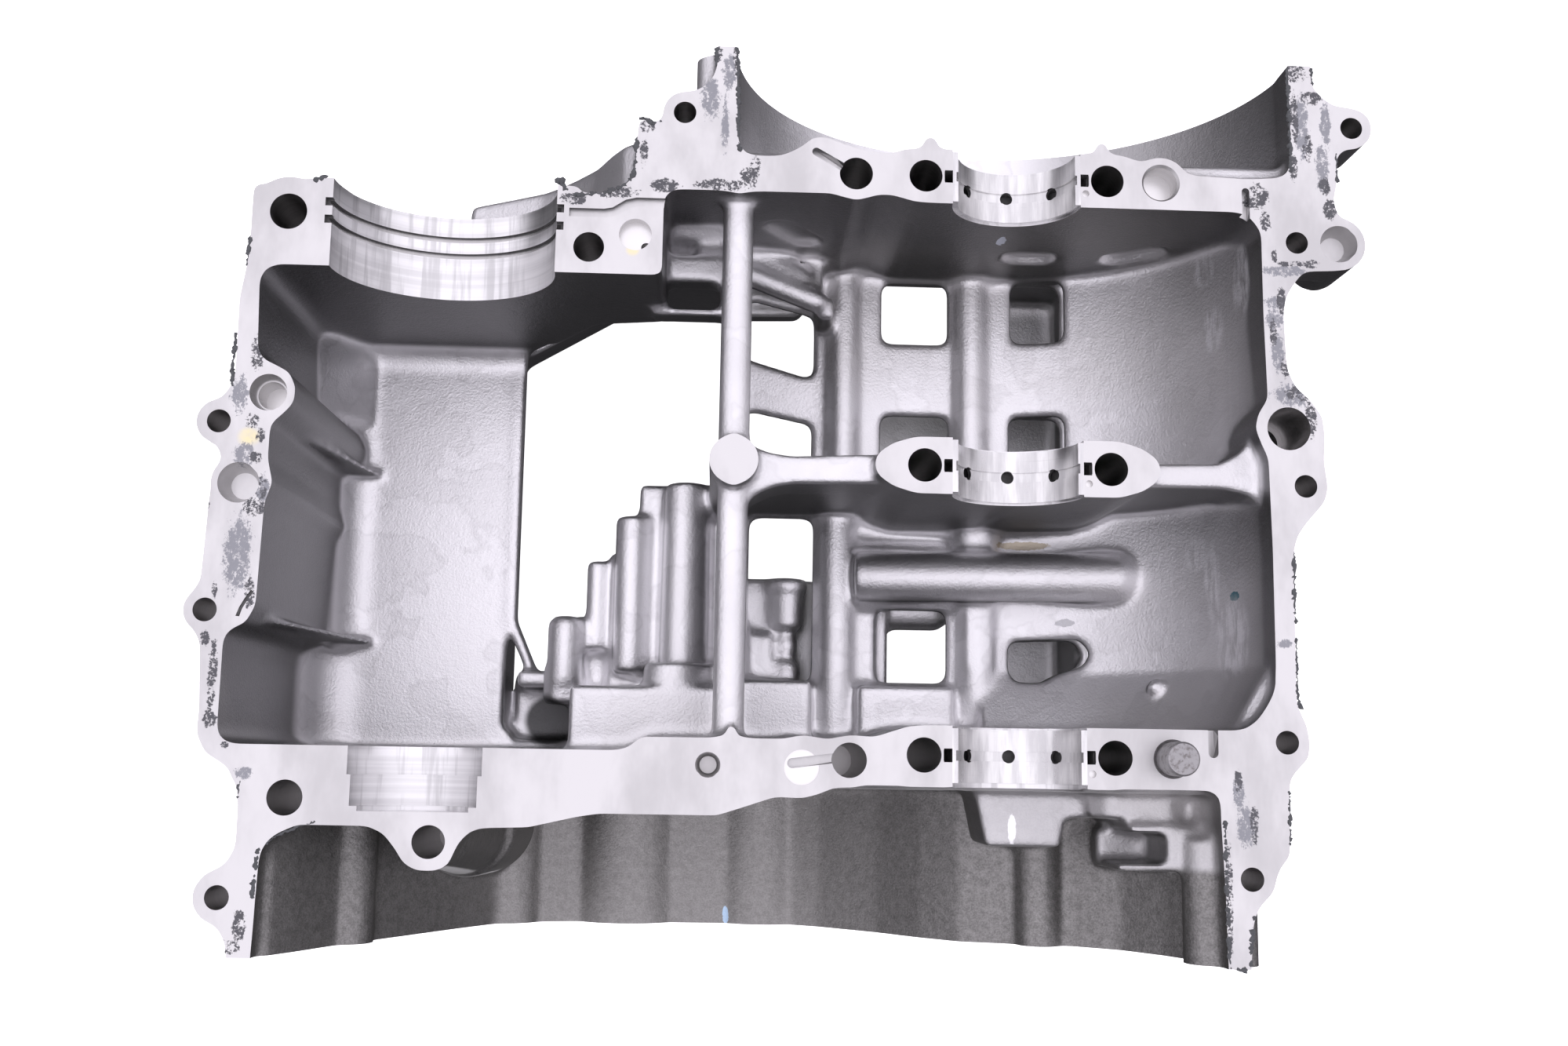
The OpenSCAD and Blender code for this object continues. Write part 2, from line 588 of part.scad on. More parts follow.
module tapered_pocket(x, y, d, floor_d, depth) {
    translate([x, y, -depth]) cylinder(d1 = floor_d, d2 = d, h = depth + eps);
}

module bolt_holes() {
    for (b = main_bolts) hole(b[0], b[1], main_bolt_d, trough_floor + 5);
    for (b = web_bolts) hole(b[0], b[1], main_bolt_d, 55);
    for (b = case_bolts) hole(b[0], b[1], b[2], b[4] + 3);
    for (b = flange_bolts) hole(b[0], b[1], flange_bolt_d, b[3] + 3);
}

module other_holes() {
    // Locating holes, some with a taper or a step
    tapered_pocket(-225.6, 17.3, 11, 9.4, 5);
    hole(-225.6, 17.3, 8.6, 14);
    tapered_pocket(-232.7, -10.2, 12.2, 8, 7);
    tapered_pocket(101.1, 73.2, 11.8, 7.8, 6);
    hole(45.3, yg, 10.6, 8);
    tapered_pocket(45.3, yg, 12, 10.4, 1);
    tapered_pocket(45.3, yg, 11.6, 10.4, 0.7);
    hole(pin_x, yc, pin_d, pin_seat);
    tapered_pocket(pin_x, yc, pin_d + 1.6, pin_d - 0.2, 0.9);
    hole(83.5, 14, 13.4, 25);
    hole(83.5, 14, 10.4, 72);
    hole(-117.8, 69.6, 10, 3.5);
    hole(-114.6, 66.6, 3, 12);
    tapered_pocket(-91.9, -90.6, 7.4, 6.4, 1.6);
    hole(-91.9, -90.6, 5.2, 20);
    // Small pits beside the bearing shells
    for (y = [yg - 4.2, -4.6, yc - 4.8]) hole(21.6, y, 2.2, 1.5);
    // Recess and oil slots near the web bolts
    hole(-64.4, yc - 4.2, 10.4, 0.6);
    translate([-66, yc - 4.2, -2.5]) rotate([0, 0, 8]) cube([17, 3, 4]);
    translate([-62.6, 98, -3]) rotate([0, 0, -30]) translate([0, -1.3, 0]) cube([11, 2.6, 4]);
    hole(-62.6, 98, 2.6, 3);
    hole(-66, yc - 2.7, 3, 2.5);
    // Drain slot beside the locating pin and its partner on the other web
    block(56.3, 59.3, yc + 1.6, yc + half + 1, -4, 1);
    hole(57.8, yc + 1.6, 3, 4);
    block(70.8, 73.2, yg - half - 1, yg - 0.8, -3, 1);
    // Oil channel in the face of the ball bearing block
    plate(-2.5, 1) soften(0.6) polygon([
        [-138.2, 74.8], [-126.6, 74.8], [-124, 75.6], [-119.8, 78], [-117, 78.6], [-108, 78.6],
        [-108, 81.4], [-117.6, 81.4], [-121, 80.8], [-125.4, 78.2], [-127.4, 77.6], [-138.2, 77.6]
    ]);
}

module cover_screws() {
    for (a = generator_boss_angles)
        translate([-(generator_r + 7) * cos(a), generator_end + 1, -(generator_r + 7) * sin(a)])
            rotate([90, 0, 0]) cylinder(d = cover_screw_d, h = cover_screw_depth + 1);
    for (b = clutch_bosses)
        translate([b[0], clutch_out - 1, b[1]]) rotate([-90, 0, 0])
            cylinder(d = cover_screw_d, h = cover_screw_depth + 1);
    for (b = sump_bosses)
        translate([b[0], b[1], -sump_depth - 1]) cylinder(d = cover_screw_d, h = cover_screw_depth + 1);
}

module bearing_seats() {
    for (y = [yg, 0, yc]) {
        y_rod(0, 0, seat_r, y - half - 4, y + half + 4);
        y_rod(0, 0, seat_r + seat_groove_depth, y - oil_hole_d / 2, y + oil_hole_d / 2);
        for (s = [-1, 1])
            block(s * (seat_r + 0.6) - 1, s * (seat_r + 0.6) + 1,
                  y - tang_len / 2, y + tang_len / 2, -2.5, 1);
    }
    // Ball bearing seat with two ring grooves
    y_rod(wx, 0, ball_seat_d / 2, ball_seat_y0 - 1, ball_seat_y1 + 20);
    for (y = [ball_seat_y1 - 8.7, ball_seat_y1 - 14.2]) {
        y_rod(wx, 0, ball_seat_d / 2 + ring_groove_depth, y, y + ring_groove_w);
        block(wx - ball_seat_d / 2 - 1.6, wx + ball_seat_d / 2 + 1.6,
              y - 0.3, y + ring_groove_w + 0.3, -2, 1);
    }
    // Needle bearing seat
    y_rod(wx - 0.8, 0, needle_seat_d / 2, -95, -86);
    y_rod(wx - 0.8, 0, needle_inner_d / 2, -104, -94);
    y_rod(wx - 0.8, 0, 16, -105.3, -103);
}

module windows() {
    for (w = floor_windows)
        rounded_slot(w[0], w[0] + w[2], w[1], w[1] + w[3], -trough_floor - wall - 2, -trough_floor + 9, 3);
    for (w = slanted_windows) plate(-trough_floor - wall - 2, -trough_floor + 16) soften(2.4) polygon(w);
    // Shallow pockets in the generator side web
    y_capsule([-72.5, -33], [-63, -47], 5.2, 80, 87);
    y_capsule([10.5, -52], [17, -52], 6.2, 78, 86);
    y_capsule([43.5, -50.5], [54, -42], 5.2, 78, 86);
}

module crankcase() {
    color([0.72, 0.71, 0.72]) difference() {
        union() {
            difference() {
                union() {
                    gearbox_outer();
                    crank_outer();
                    generator_outer();
                    clutch_outer();
                    sump_outer();
                    housings();
                    intersection() {
                        bosses();
                        plate(-far / 2, 0) offset(delta = 3) outline_2d();
                    }
                }
                inner_spaces();
                windows();
            }
            plate(-flange_t, 0) difference() {
                outline_2d();
                bay_2d();
            }
            sprocket_guard();
            centre_web();
            gallery();
            trough_details();
            gearbox_details();
            clutch_details();
        }
        bolt_holes();
        other_holes();
        cover_screws();
        bearing_seats();
    }
}

// One lower half shell, centred on its seat
module bearing_shell(y) {
    color([0.62, 0.62, 0.64]) difference() {
        y_rod(0, 0, seat_r, y - shell_len / 2, y + shell_len / 2);
        y_rod(0, 0, seat_r - shell_wall, y - shell_len, y + shell_len);
        y_rod(0, 0, seat_r - shell_wall + groove_depth, y - groove_w / 2, y + groove_w / 2);
        for (a = [-oil_hole_angle, 0, oil_hole_angle])
            translate([0, y, 0]) rotate([0, 180 + a, 0]) cylinder(d = oil_hole_d, h = seat_r + 2);
        block(-seat_r - 2, seat_r + 2, y - shell_len, y + shell_len, 0, seat_r + 2);
    }
}

module shell_generator_side() {
    bearing_shell(yg);
}

module shell_centre() {
    bearing_shell(0);
}

module shell_clutch_side() {
    bearing_shell(yc);
}

module locating_pin() {
    color([0.55, 0.55, 0.58]) translate([pin_x, yc, -pin_seat]) {
        cylinder(d = pin_d, h = pin_seat + pin_proud - 0.6);
        translate([0, 0, pin_seat + pin_proud - 0.6]) cylinder(d1 = pin_d, d2 = pin_d - 1, h = 0.6);
    }
}

crankcase();
shell_generator_side();
shell_centre();
shell_clutch_side();
locating_pin();
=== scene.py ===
# %% [markdown]
# # Lower crankcase half
# This lesson dresses the packed lower crankcase half of a small boxer engine. It lies with its
# split face up. The casting gets soft fillets and crisp machined faces. Then come the sealant
# left on the split face, the paint dabs, the materials, the light and the camera. Sizes are in
# millimetres until a mesh is made, in the frame of the solids: X away from the gearbox, Y along
# the crankshaft towards the generator, Z out of the split face.

import math

import bpy
import numpy as np
import openvdb as vdb
from mathutils import Matrix, Vector


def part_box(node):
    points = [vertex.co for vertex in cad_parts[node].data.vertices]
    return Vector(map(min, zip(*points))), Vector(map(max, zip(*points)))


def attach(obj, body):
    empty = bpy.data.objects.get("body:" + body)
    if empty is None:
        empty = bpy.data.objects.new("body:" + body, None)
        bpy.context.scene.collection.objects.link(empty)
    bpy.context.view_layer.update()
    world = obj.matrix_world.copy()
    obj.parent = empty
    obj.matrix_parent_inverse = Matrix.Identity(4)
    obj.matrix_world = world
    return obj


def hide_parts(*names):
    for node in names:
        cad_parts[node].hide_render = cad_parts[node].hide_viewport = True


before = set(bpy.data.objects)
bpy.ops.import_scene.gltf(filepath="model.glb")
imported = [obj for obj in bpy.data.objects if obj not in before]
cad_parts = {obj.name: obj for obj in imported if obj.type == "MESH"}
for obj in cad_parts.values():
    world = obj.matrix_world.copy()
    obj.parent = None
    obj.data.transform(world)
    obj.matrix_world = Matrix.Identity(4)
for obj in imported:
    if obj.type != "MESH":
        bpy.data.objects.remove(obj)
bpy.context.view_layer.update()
SLOTS = ["cast", "milled", "turned", "drilled", "dark_recess"]
CAST, MILLED, TURNED, DRILLED, DARK_RECESS = range(len(SLOTS))
print("nodes:", sorted(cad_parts))

# %% [markdown]
# The crankshaft lies in three plain bearings. The gearbox shaft beside it ran in a ball bearing
# and a needle bearing. Their places and radii set where the seats are bored, so they come first.

# %% Shafts and seats
GENERATOR_Y, CLUTCH_Y = 91.3, -86.7
BEARINGS = (GENERATOR_Y, 0.0, CLUTCH_Y)
SEAT_R, SEAT_HALF, OIL_RING = 20.0, 8.7, 2.5
SHAFT_X, BALL_R = -176.0, 34.0
NEEDLE_X, NEEDLE_R = SHAFT_X - 0.8, 19.4
print("main bearings at y:", BEARINGS)

# %% [markdown]
# The split face is full of drilled holes: the bolt holes beside each main bearing, larger ones
# through the ears, the screw holes round the flange, and a few blind ones. They could be left as
# the solids have them, but the whole casting is softened below. So each hole is listed here, as
# x, y, diameter and depth. It is filled before the softening and drilled again after it, and its
# edge stays sharp.

# %% Holes of the split face
BOLT_X, BOLT_D, BOLT_DEPTH = 28.4, 10.3, 85
SCREW_D, SCREW_DEPTH = 7, 25
MAIN = [(side * BOLT_X, y, BOLT_D, BOLT_DEPTH) for y in BEARINGS for side in (-1, 1)]
THROUGH = [
    (-50.1, GENERATOR_Y, BOLT_D, 55), (-50.4, CLUTCH_Y - 1.9, BOLT_D, 55),
    (-223.1, 73.7, 11.2, 53), (-213.5, -101.9, BOLT_D, 43), (-171.8, -113.9, 9.6, 48),
    (-131.9, 65.2, 9.4, 48),
]
FLANGE = [(x, y, SCREW_D, SCREW_DEPTH) for x, y in (
    (-239.6, 8.2), (-239.9, -48.1), (-230.9, -130.3), (106.4, 111.3), (87.8, 73.2),
    (88.2, -3.8), (80.1, -81.3), (68.5, -121.3))]
FLANGE.append((-103.6, 109.4, SCREW_D, 33))
BLIND = [
    (-225.6, 17.3, 8.6, 14), (-232.7, -10.2, 8, 7), (101.1, 73.2, 7.8, 6),
    (45.3, GENERATOR_Y, 10.6, 8), (45.6, CLUTCH_Y, 10, 12), (83.5, 14, 13.4, 25),
    (-117.8, 69.6, 10, 3.5), (-91.9, -90.6, 5.2, 20), (-64.4, CLUTCH_Y - 4.2, 10.4, 0.6),
    (21.6, GENERATOR_Y - 4.2, 2.2, 1.5), (21.6, -4.6, 2.2, 1.5), (21.6, CLUTCH_Y - 4.8, 2.2, 1.5),
]
STEPPED = [  # x, y, diameter, depth and the depth where the narrow bore starts
    (83.5, 14, 10.4, 72, 20), (-114.6, 66.6, 3, 12, 3),
]
TAPERED = [  # x, y, mouth, floor, depth
    (-225.6, 17.3, 11.2, 9.4, 5), (-232.7, -10.2, 12.2, 8, 7), (101.1, 73.2, 11.8, 7.8, 6),
    (45.3, GENERATOR_Y, 12, 10.4, 1), (45.6, CLUTCH_Y, 11.6, 9.8, 0.9),
    (-91.9, -90.6, 7.4, 5.2, 1.6),
]
HOLES = MAIN + THROUGH + FLANGE + BLIND + [hole[:4] for hole in STEPPED]
print("holes in the split face:", len(HOLES), "tapered mouths:", len(TAPERED))

# %% [markdown]
# A real casting has no sharp inner corner anywhere, and its fillets run into one another.
# Bevelling thousands of edges would fail on such a shape. Instead the solid becomes a field of
# distances to its surface, negative inside. On a field it is easy to fill, to blend and to round.

# %% Field of the casting
VOXEL = 1.0
BAND, MARGIN = 4.0, 3


def casting_field(node):
    """Distances on a grid in millimetres, and the coordinates of the grid's three axes."""
    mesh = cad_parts[node].data
    points = np.empty(len(mesh.vertices) * 3, np.float32)
    mesh.vertices.foreach_get("co", points)
    mesh.calc_loop_triangles()
    faces = np.empty(len(mesh.loop_triangles) * 3, np.int32)
    mesh.loop_triangles.foreach_get("vertices", faces)
    grid = vdb.FloatGrid.createLevelSetFromPolygons(
        points.reshape(-1, 3) * 1000.0, triangles=faces.reshape(-1, 3),
        transform=vdb.createLinearTransform(voxelSize=VOXEL), halfWidth=BAND)
    low, high = grid.evalActiveVoxelBoundingBox()
    low = np.array(low) - MARGIN
    shape = np.array(high) + MARGIN + 1 - low
    values = np.empty(tuple(shape), np.float32)
    grid.copyToArray(values, ijk=tuple(int(i) for i in low))
    axes = [(low[a] + np.arange(shape[a])) * VOXEL for a in range(3)]
    return values, axes


field, (GX, GY, GZ) = casting_field("crankcase")
print("field:", field.shape, "voxel", VOXEL, "mm")

# %% [markdown]
# A foundry leaves stock wherever a tool will cut later, and so does this field. Each hole and
# each bearing seat is filled here, so far that the softening stays clear of the cut that follows.

# %% Stock in the holes and seats
HOLE_STOCK, FLOOR_STOCK, TOP_STOCK, SEAT_STOCK = 1.2, 1.0, 2.0, 1.0
BALL_Y, BALL_STOCK = (57.0, 84.5), 2.5
NEEDLE_Y = (-104.0, -86.6)


def span(axis, low, high):
    """The slice of a grid axis between two coordinates."""
    i = np.searchsorted(axis, low)
    return slice(max(int(i) - 1, 0), int(np.searchsorted(axis, high)) + 1)


def fill_round(x, y, z, radius, along):
    """Fills a cylinder. The two numbers given as a pair are its ends along its axis."""
    around = radius + 5
    sx, sy, sz = (
        span(axis, *(v if isinstance(v, tuple) else (v - around, v + around)))
        for axis, v in ((GX, x), (GY, y), (GZ, z)))
    px, py, pz = GX[sx][:, None, None], GY[sy][None, :, None], GZ[sz][None, None, :]
    if along == "z":
        away = np.hypot(px - x, py - y) - radius
        ends = np.maximum(z[0] - pz, pz - z[1])
    else:
        away = np.hypot(px - x, pz - z) - radius
        ends = np.maximum(y[0] - py, py - y[1])
    part = field[sx, sy, sz]
    np.minimum(part, np.maximum(away, ends).astype(np.float32), out=part)


for x, y, d, depth in HOLES:
    fill_round(x, y, (-depth - FLOOR_STOCK, TOP_STOCK), d / 2 + HOLE_STOCK, "z")
for y in BEARINGS:
    fill_round(0.0, (y - SEAT_HALF, y + SEAT_HALF), 0.0, SEAT_R + OIL_RING + SEAT_STOCK, "y")
fill_round(SHAFT_X, BALL_Y, 0.0, BALL_R + BALL_STOCK, "y")
fill_round(NEEDLE_X, NEEDLE_Y, 0.0, NEEDLE_R + SEAT_STOCK, "y")
print("filled", len(HOLES), "holes and", len(BEARINGS) + 2, "bearing seats")

# %% [markdown]
# Four outer faces are milled: the split face, the sump face and the two cover faces. The section
# just behind each one is repeated outwards, past the face, so the softening can't round its edges.

# %% Stock on the machined faces
SPLIT_Z, SUMP_Z, GENERATOR_FACE_Y, CLUTCH_FACE_Y = 0, -126, 131.5, -147


def carry(axis, coordinate, step):
    """Repeats the section at a coordinate outwards, past a machined face."""
    index = int(np.argmin(abs((GX, GY, GZ)[axis] - coordinate)))
    section = np.take(field, [index], axis=axis)
    target = [slice(None)] * 3
    target[axis] = slice(index, None) if step > 0 else slice(None, index + 1)
    field[tuple(target)] = section


for axis, behind, step in ((2, SPLIT_Z - 5.0, 1), (2, SUMP_Z + 2.0, -1),
                           (1, GENERATOR_FACE_Y - 2.5, 1), (1, CLUTCH_FACE_Y + 2.5, -1)):
    carry(axis, behind, step)
    print("section repeated outwards from", "xyz"[axis], "=", behind)

# %% [markdown]
# The pattern and the mould round every corner of the real part. A wide blur, joined with the
# shape itself, puts fillets in the inner corners and leaves the walls where they are. A narrow
# blur then takes the hardness off all edges. A small round ejector mark stands on one slope.

# %% Soft cast skin
FILLET, EDGE = 2.6, 0.9
WALL_HOLD = 0.3  # what the wide blur has to add before it counts, so flat walls stay in place
EJECTOR, EJECTOR_R = (54.6, -63.3, -50.1), 3.1


def blurred(values, sigma):
    """A Gaussian blur along each axis, sigma in millimetres."""
    sigma = sigma / VOXEL
    reach = max(int(math.ceil(2.5 * sigma)), 1)
    weights = np.exp(-0.5 * (np.arange(-reach, reach + 1) / sigma) ** 2)
    weights = (weights / weights.sum()).astype(np.float32)
    for axis in range(3):
        pad = [(reach, reach) if a == axis else (0, 0) for a in range(3)]
        wide = np.pad(values, pad, mode="edge")
        total = np.zeros_like(values)
        for i, weight in enumerate(weights):
            window = [slice(None)] * 3
            window[axis] = slice(i, i + values.shape[axis])
            total += weight * wide[tuple(window)]
        values = total
    return values


def ball(centre, radius):
    """Distances to a ball on the whole grid."""
    x, y, z = centre
    away = (GX[:, None, None] - x) ** 2 + (GY[None, :, None] - y) ** 2 + (GZ[None, None, :] - z) ** 2
    return (np.sqrt(away) - radius).astype(np.float32)


field = np.minimum(field, blurred(field, FILLET) + WALL_HOLD)
field = np.minimum(field, ball(EJECTOR, EJECTOR_R))
field = blurred(field, EDGE)
print("soft field from", round(float(field.min()), 1), "to", round(float(field.max()), 1), "mm")

# %% [markdown]
# The skin of the field becomes a mesh, evenly stepped like the grid. A light smoothing takes the
# steps off the thin ribs. Then it is thinned, because flat walls need few triangles, and that
# keeps the piece under 200,000.

# %% Mesh of the soft casting
TRIANGLES = 170000


def link(obj):
    bpy.context.scene.collection.objects.link(obj)
    return obj


def mesh_object(name, points, faces):
    """A mesh in metres with all the casting's material slots, every face in the first one."""
    mesh = bpy.data.meshes.new(name)
    mesh.from_pydata([tuple(p) for p in np.asarray(points, float) / 1000.0], [], faces)
    mesh.update()
    for slot in SLOTS:
        mesh.materials.append(bpy.data.materials.get(slot) or bpy.data.materials.new(slot))
    return link(bpy.data.objects.new(name, mesh))


def apply_modifiers(obj):
    """Replaces an object's mesh by what its modifiers make of it."""
    graph = bpy.context.evaluated_depsgraph_get()
    old = obj.data
    mesh = bpy.data.meshes.new_from_object(obj.evaluated_get(graph))
    obj.modifiers.clear()
    obj.data = mesh
    bpy.data.meshes.remove(old)


def surface_mesh(values, name):
    """The surface where the distances are zero, as an object."""
    grid = vdb.FloatGrid(background=float(values.max()))
    grid.transform = vdb.createLinearTransform(voxelSize=VOXEL)
    origin = [int(round(axis[0] / VOXEL)) for axis in (GX, GY, GZ)]
    grid.copyFromArray(np.ascontiguousarray(values), ijk=tuple(origin))
    points, _, quads = grid.convertToPolygons(isovalue=0.0, adaptivity=0.0)
    return mesh_object(name, points, quads[:, ::-1].tolist())


casting = surface_mesh(field, "casting")
full = len(casting.data.polygons) * 2
soft = casting.modifiers.new("soft", "SMOOTH")
soft.factor, soft.iterations = 0.5, 4
thin = casting.modifiers.new("thin", "DECIMATE")
thin.ratio = min(1.0, TRIANGLES / full)
apply_modifiers(casting)
print("casting:", full, "triangles thinned to", len(casting.data.polygons))

# %% [markdown]
# Machining comes next, and each tool is a plain closed shape that is taken away from the casting.
# The faces of a tool carry a material slot, and the cut hands it on. So a drilled wall looks
# drilled and a milled floor looks milled, with no mask to draw by hand.

# %% Cutters
LATTICE = 5.0
WIDE_X, WIDE_Y = (-300, 161), (-200, 201)
SPARE, DRILL_SPARE = 4, 5  # how far cutters and drills stand out of the split face


class Cutters:
    """Collects closed shapes into one mesh for one cut."""

    def __init__(self):
        self.points, self.faces, self.slots = [], [], []

    def prism(self, outline, low, high, along="z", slot=DRILLED, top=None, ends=None):
        """An extrusion of an anticlockwise outline with an even count of points. top is the
        outline of the far end, and ends is the slot of both ends, which are strips of quads."""
        n, base = len(outline), len(self.points)
        for ring, end in ((outline, low), (top or outline, high)):
            for u, v in ring:
                self.points.append((u, v, end) if along == "z" else (u, end, v))
        made = [(i, (i + 1) % n, n + (i + 1) % n, n + i) for i in range(n)]
        across = [(i, i + 1, n - 2 - i, n - 1 - i) for i in range(n // 2 - 1)]
        made += [tuple(reversed(f)) for f in across] + [tuple(n + i for i in f) for f in across]
        for k, f in enumerate(made):
            f = f if along == "z" else tuple(reversed(f))
            self.faces.append(tuple(base + i for i in f))
            self.slots.append(slot if k < n or ends is None else ends)

    def round(self, u, v, d, low, high, along="z", slot=DRILLED, d_top=None, sides=48, ends=None):
        """A cylinder, or a cone with a far end of diameter d_top."""
        turns = np.arange(sides) * 2 * math.pi / sides
        near, far = ([(u + r * math.cos(a), v + r * math.sin(a)) for a in turns]
                     for r in (d / 2, (d_top or d) / 2))
        self.prism(near, low, high, along, slot, far, ends)

    def box(self, x0, x1, y0, y1, z0, z1, slot):
        self.prism([(x0, y0), (x1, y0), (x1, y1), (x0, y1)], z0, z1, "z", slot)

    def slab(self, at, far, along):
        """A wide block whose near face is a lattice of small squares."""
        us = np.arange(*WIDE_X, LATTICE)
        vs = np.arange(*WIDE_Y, LATTICE)
        n, m, base = len(us), len(vs), len(self.points)
        ends = [(u, v, at) for u in us for v in vs]
        ends += [(us[i], vs[j], far) for i, j in ((0, 0), (-1, 0), (-1, -1), (0, -1))]
        self.points += [(u, v, w) if along == "z" else (u, w, v) for u, v, w in ends]
        corner = n * m
        near = [(i * m + j + m, i * m + j, i * m + j + 1, i * m + j + m + 1)
                for i in range(n - 1) for j in range(m - 1)]
        south = [i * m for i in range(n)] + [corner + 1, corner]
        east = [(n - 1) * m + j for j in range(m)] + [corner + 2, corner + 1]
        north = [i * m + m - 1 for i in reversed(range(n))] + [corner + 3, corner + 2]
        west = list(reversed(range(m))) + [corner, corner + 3]
        made = near + [south, east, north, west, [corner, corner + 1, corner + 2, corner + 3]]
        flip = (far < at) != (along == "y")
        for f in made:
            self.faces.append(tuple(base + k for k in (reversed(f) if flip else f)))
            self.slots.append(MILLED)

    def cut(self, obj, name):
        """Takes the collected shapes away from an object."""
        tool = mesh_object(name, self.points, self.faces)
        tool.data.polygons.foreach_set("material_index", self.slots)
        before = len(obj.data.polygons)
        boolean = obj.modifiers.new(name, "BOOLEAN")
        boolean.operation, boolean.solver, boolean.object = "DIFFERENCE", "MANIFOLD", tool
        apply_modifiers(obj)
        bpy.data.objects.remove(tool)
        print(name, "cut:", before, "to", len(obj.data.polygons), "faces")


print("cutters: prisms, rounds, boxes and slabs with squares of", LATTICE, "mm")

# %% [markdown]
# The four outer faces are milled flat first. A wide face is a lattice of small squares, because a
# single huge polygon full of holes is filled badly.

# %% Milling the outer faces
for at, far, along, name in (
        (SPLIT_Z, 40, "z", "split_face"), (SUMP_Z, -160, "z", "sump_face"),
        (GENERATOR_FACE_Y, 200, "y", "generator_face"), (CLUTCH_FACE_Y, -200, "y", "clutch_face")):
    face = Cutters()
    face.slab(at, far, along)
    face.cut(casting, name)

# %% [markdown]
# The holes are drilled again. The wide bores go in one cut, and the narrow bores below them and
# the tapered mouths in a second one, because shapes that overlap in one cut would spoil it.

# %% Drilling
MOUTH_TOP = 0.1  # a tapered cutter ends this far above the split face
bores = Cutters()
for x, y, d, depth in MAIN + THROUGH + FLANGE + BLIND:
    bores.round(x, y, d, -depth, DRILL_SPARE)
bores.cut(casting, "holes")
mouths = Cutters()
for x, y, d, depth, start in STEPPED:
    mouths.round(x, y, d, -depth, -start)
for x, y, mouth, floor, depth in TAPERED:
    widening = (mouth - floor) / depth * MOUTH_TOP
    mouths.round(x, y, floor, -depth, MOUTH_TOP, slot=MILLED, d_top=mouth + widening)
mouths.cut(casting, "mouths")

# %% [markdown]
# Short oil slots lead away from some holes, and a longer channel runs beside the ball bearing.
# The gouge in the rear flange may come from a slipped lever. Small pockets beside the shells are
# there for their lugs. All are shallow, so each is a prism with its own floor, cut in one go.

# %% Slots, channel, gouge and lug pockets
OIL_SLOTS = [  # from x, y to x, y, width, depth
    (-67.2, CLUTCH_Y - 3.0, -52.0, CLUTCH_Y - 1.0, 2.9, 2.5),
    (-62.6, 98.0, -53.0, 92.6, 2.6, 3),
    (57.8, CLUTCH_Y + 2.0, 57.8, CLUTCH_Y + 12.0, 3.0, 4),
    (72.0, GENERATOR_Y - 2.0, 72.0, GENERATOR_Y - 12.0, 2.4, 3),
]
CHANNEL, CHANNEL_DEPTH = [
    (-138.2, 74.8), (-126.8, 74.8), (-123.6, 75.5), (-119.6, 78.0), (-116.8, 78.6), (-107.0, 78.6),
    (-107.0, 81.4), (-117.8, 81.4), (-121.0, 80.6), (-125.0, 78.0), (-127.6, 77.5), (-138.2, 77.5),
], 1.6
GOUGE, GOUGE_DEPTH = [
    (-230.9, -49.8), (-229.8, -49.9), (-229.1, -47.6), (-227.8, -45.2), (-226.1, -42.6),
    (-226.9, -42.0), (-228.6, -44.6), (-230.0, -47.2),
], 0.6
LUG_X, LUG_WIDTH, LUG_LENGTH, LUG_DEPTH = 21.2, 2.8, 3.2, 2.5


def slot_outline(x0, y0, x1, y1, width):
    """The outline of a slot with round ends."""
    a = math.atan2(y1 - y0, x1 - x0)
    turns = [a + math.pi / 2 + math.pi * i / 8 for i in range(9)]
    near = [(x0 + width / 2 * math.cos(t), y0 + width / 2 * math.sin(t)) for t in turns]
    far = [(x1 - width / 2 * math.cos(t), y1 - width / 2 * math.sin(t)) for t in turns]
    return near + far


slots = Cutters()
for *ends, width, depth in OIL_SLOTS:
    slots.prism(slot_outline(*ends, width), -depth, SPARE, slot=CAST, ends=MILLED)
slots.prism(CHANNEL, -CHANNEL_DEPTH, SPARE, slot=CAST, ends=MILLED)
slots.prism(GOUGE, -GOUGE_DEPTH, SPARE, slot=DARK_RECESS)
for y in BEARINGS:
    for x in (-LUG_X, LUG_X):
        slots.box(x - LUG_WIDTH / 2, x + LUG_WIDTH / 2, y - LUG_LENGTH / 2, y + LUG_LENGTH / 2,
                  -LUG_DEPTH, SPARE, DARK_RECESS)
slots.cut(casting, "slots")

# %% [markdown]
# The seats are bored in one go with the other half bolted on, so they are exact half rounds. The
# ball bearing seat has two grooves for its snap rings, with small notches at the split face, and
# an oil ring runs behind each shell. The needle seat steps down at its far end.

# %% Bearing seats
SEAT_CUT, OIL_RING_HALF = 13, 2
BALL_CUT = (56, 105)
RING_GROOVES, RING_WIDTH, RING_DEPTH = (76.3, 70.8), 1.8, 1.3
NOTCH_OUT, NOTCH_HALF, NOTCH_EXTRA, NOTCH_DEPTH = 0.7, 1.5, 0.4, 2
NEEDLE_STEPS = [(NEEDLE_R * 2, -95, -86), (36.5, -104, -94.9), (32, -105.4, -103.9)]
seats = Cutters()
for y in BEARINGS:
    seats.round(0, 0, SEAT_R * 2, y - SEAT_CUT, y + SEAT_CUT, "y", TURNED, sides=96)
seats.round(SHAFT_X, 0, BALL_R * 2, *BALL_CUT, "y", TURNED, sides=160)
seats.round(NEEDLE_X, 0, *NEEDLE_STEPS[0], "y", TURNED, sides=96)
seats.cut(casting, "seats")
grooves = Cutters()
for y in RING_GROOVES:
    grooves.round(SHAFT_X, 0, BALL_R * 2 + RING_DEPTH * 2, y, y + RING_WIDTH, "y", DRILLED,
                  sides=160, ends=DARK_RECESS)
